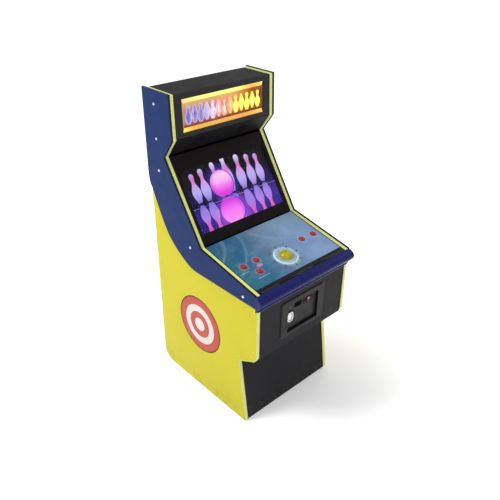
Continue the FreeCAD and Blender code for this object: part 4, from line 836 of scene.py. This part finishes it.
for i, (bx, bs) in enumerate(BUTTONS):
    prof = [(0.0, -0.0346), (0.0044, -0.0346), (0.0044, -0.012), (0.0122, -0.012), (0.0122, 0.0062), (0.01195, 0.0070), (0.0114, 0.0077), (0.0107, 0.0081),
            (0.0100, 0.0082), (0.0085, 0.00795), (0.0065, 0.00745), (0.0045, 0.00715), (0.0022, 0.00695), (0.0, 0.0069)]
    b = lathe("button_cap_%d" % (i + 1), prof, c_at(bx, bs, -0.002), "button_%d" % (i + 1), M["red_plastic"], 64)
    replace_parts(b, "button_%d" % (i + 1))

ball_prof = [(0.0381 * math.sin(math.pi * k / 48), -0.0381 * math.cos(math.pi * k / 48)) for k in range(49)]
ball_prof[0] = (0.0, -0.0381)
ball_prof[-1] = (0.0, 0.0381)
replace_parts(lathe("trackball_polished", ball_prof, c_at(0, BALL_S, -0.010), "trackball", M["ball_yellow"], 96), "trackball")

ring_prof = [(0.0378, -0.0019), (0.0372, -0.0004), (0.0370, 0.0008), (0.0375, 0.0017), (0.0388, 0.0025), (0.0420, 0.0032), (0.0460, 0.0036), (0.0510, 0.0036), (0.0560, 0.0034),
             (0.0600, 0.0028), (0.0630, 0.0019), (0.0652, 0.0007), (0.0665, -0.0009), (0.0665, -0.0019)]
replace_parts(lathe("trackball_ring_smooth", ring_prof, c_at(0, BALL_S, 0), "control_panel", M["pale_plastic"], 128), "trackball_ring")


# bright bezel round the coin return: an oval ring with a rounded section
def return_bezel():
    cx, cz, front = -0.088, 0.623, -0.3790
    sec = [(0.0, 0.0), (0.0, 0.0010), (0.0012, 0.0019), (0.0032, 0.0021), (0.0050, 0.0012), (0.0054, 0.0)]
    path = []
    hx, hz, n = 0.0166, 0.0236, 2.9
    for k in range(72):
        a = 2 * math.pi * k / 72
        c, s = math.cos(a), math.sin(a)
        q = (abs(c) ** n + abs(s) ** n) ** (-1 / n)
        path.append((hx * q * c, hz * q * s, c, s))
    v, f = [], []
    for px, pz, c, s in path:
        g = Vector((c / hx, s / hz)).normalized()
        for w, h in sec:
            v.append((cx + px + g.x * w, front - h, cz + pz + g.y * w))
    m = len(sec)
    for i in range(72):
        j = (i + 1) % 72
        for k in range(m):
            k2 = (k + 1) % m
            f.append((i * m + k, i * m + k2, j * m + k2, j * m + k))
    return make("coin_return_bezel", v, f, "coin_door", [M["bright_chrome"]], smooth=True)


return_bezel()


def return_plate():
    """Domed bright plate on the swinging flap."""
    cx, cz, back = -0.088, 0.622, -0.3754
    hx, hz, n, m = 0.0152, 0.0214, 2.8, 64
    rings = [(1.0, 0.0), (1.0, 0.0006), (0.96, 0.0013), (0.86, 0.0020), (0.7, 0.0027), (0.45, 0.0032), (0.2, 0.0034)]
    v, f = [], []
    for scale, h in rings:
        for k in range(m):
            a = 2 * math.pi * k / m
            c, s = math.cos(a), math.sin(a)
            q = (abs(c) ** n + abs(s) ** n) ** (-1 / n)
            v.append((cx + hx * q * c * scale, back - h, cz + hz * q * s * scale))
    for i in range(len(rings) - 1):
        for k in range(m):
            k2 = (k + 1) % m
            f.append((i * m + k, i * m + k2, (i + 1) * m + k2, (i + 1) * m + k))
    f.append(tuple(range(m)))
    f.append(tuple((len(rings) - 1) * m + k for k in range(m - 1, -1, -1)))
    return make("coin_return_plate", v, f, "coin_return_flap", [M["satin_chrome"]], smooth=True)


return_plate()


# ------------------------------------------------------------------ thin bright strip under the nose; its lighter colour is a painted highlight along the nose's lower edge
def strip():
    v, f = [], []
    sec = [(-0.3896 + 0.0024 * math.cos(math.pi * 2 * k / 12), 0.7757 + 0.0024 * math.sin(math.pi * 2 * k / 12)) for k in range(12)]
    xs = [-0.3285, -0.328, 0.328, 0.3285]
    for x in xs:
        k = 0.6 if abs(x) > 0.3282 else 1.0
        cy = sum(p[0] for p in sec) / 12
        cz = sum(p[1] for p in sec) / 12
        v += [(x, cy + (p[0] - cy) * k, cz + (p[1] - cz) * k) for p in sec]
    n = len(sec)
    for i in range(len(xs) - 1):
        for j in range(n):
            j2 = (j + 1) % n
            f.append((i * n + j, i * n + j2, (i + 1) * n + j2, (i + 1) * n + j))
    f.append(tuple(range(n - 1, -1, -1)))
    f.append(tuple(range((len(xs) - 1) * n, len(xs) * n)))
    # painted highlight: the bead is coloured lighter than the navy nose
    return make("nose_strip", v, f, "cabinet", [plastic("nose edge painted highlight", lin(70, 64, 92), 0.35)], smooth=True)


strip()


def joint_batten():
    """Slim black batten closing the joint between the sloping floor and the kick panel."""
    sec = [(-0.2545, 0.3997), (-0.2523, 0.3998), (-0.2523, 0.4155), (-0.2535, 0.4160), (-0.2592, 0.4056)]
    n = len(sec)
    v = [(x, y, z) for x in (-0.3108, 0.3108) for y, z in sec]
    f = [(j, (j + 1) % n, n + (j + 1) % n, n + j) for j in range(n)] + [tuple(range(n - 1, -1, -1)), tuple(range(n, 2 * n))]
    return make("lower_joint_batten", v, f, "cabinet", [M["front_vinyl"]])


joint_batten()

# ------------------------------------------------------------------ stage, lights, camera
size = 40.0
fv = [(-size, -size, 0), (size, -size, 0), (size, size, 0), (-size, size, 0)]
fm = bpy.data.meshes.new("floor")
fm.from_pydata(fv, [], [(0, 1, 2, 3)])
floor = bpy.data.objects.new("studio_floor", fm)
scene.collection.objects.link(floor)
floor_mat = Mat("studio floor", 0.22, 0.35)
floor_tone = floor_mat.ramp(floor_mat.noise(0.6), [(0.3, (0.90, 0.90, 0.90, 1)), (0.7, (0.92, 0.92, 0.92, 1))])
floor_mat.color(floor_tone)
# painted shadow: the floor's glow is lowest close to the cabinet's front right and rises further out
fill = floor_mat.span(floor_mat.dist((0.14, -0.40, 0.0)), 0.22, 0.95, 0.09, 0.46, True)
floor_mat.glow(floor_mat.ramp(fill, [(0.0, (0, 0, 0, 1)), (1.0, (1, 1, 1, 1))]), 1.0)
floor_mat.rough(floor_mat.span(floor_mat.noise(2.0), 0.3, 0.7, 0.2, 0.28))
fm.materials.append(floor_mat.m)

world = bpy.data.worlds.new("studio")
scene.world = world
world.use_nodes = True
bg = world.node_tree.nodes["Background"]
bg.inputs["Color"].default_value = (1.0, 1.0, 1.0, 1)
bg.inputs["Strength"].default_value = 0.68


def area(name, loc, target, size, power, color=(1, 1, 1)):
    l = bpy.data.lights.new(name, "AREA")
    l.shape = "DISK"
    l.size = size
    l.energy = power
    l.color = color
    o = bpy.data.objects.new(name, l)
    scene.collection.objects.link(o)
    o.location = loc
    d = Vector(target) - Vector(loc)
    o.rotation_euler = d.to_track_quat("-Z", "Y").to_euler()
    return o


area("key", (-3.2, 1.6, 4.2), (0.0, 0.0, 0.7), 1.8, 190)
area("front", (-0.6, -4.6, 3.2), (0.0, 0.0, 0.9), 3.0, 60)
area("right", (4.2, -1.0, 2.6), (0.0, 0.0, 0.9), 3.0, 40)

cam = bpy.data.cameras.new("camera")
cam.sensor_width = 36.0
cam.lens = 36.0 * 572.404 / 500.0
co = bpy.data.objects.new("camera", cam)
scene.collection.objects.link(co)
az, el, roll = 0.7539898, 0.5312316, 0.0121446
f3 = Vector((math.sin(az) * math.cos(el), math.cos(az) * math.cos(el), -math.sin(el)))
r = Vector((math.cos(az), -math.sin(az), 0.0))
u = r.cross(f3)
r2 = r * math.cos(roll) + u * math.sin(roll)
u2 = u * math.cos(roll) - r * math.sin(roll)
mw = Matrix((r2, u2, -f3)).transposed().to_4x4()
mw.translation = Vector((-1.83469, -1.93508, 2.38366))
co.matrix_world = mw
scene.camera = co
scene.view_settings.view_transform = "Standard"
scene.view_settings.look = "None"

bpy.context.view_layer.update()
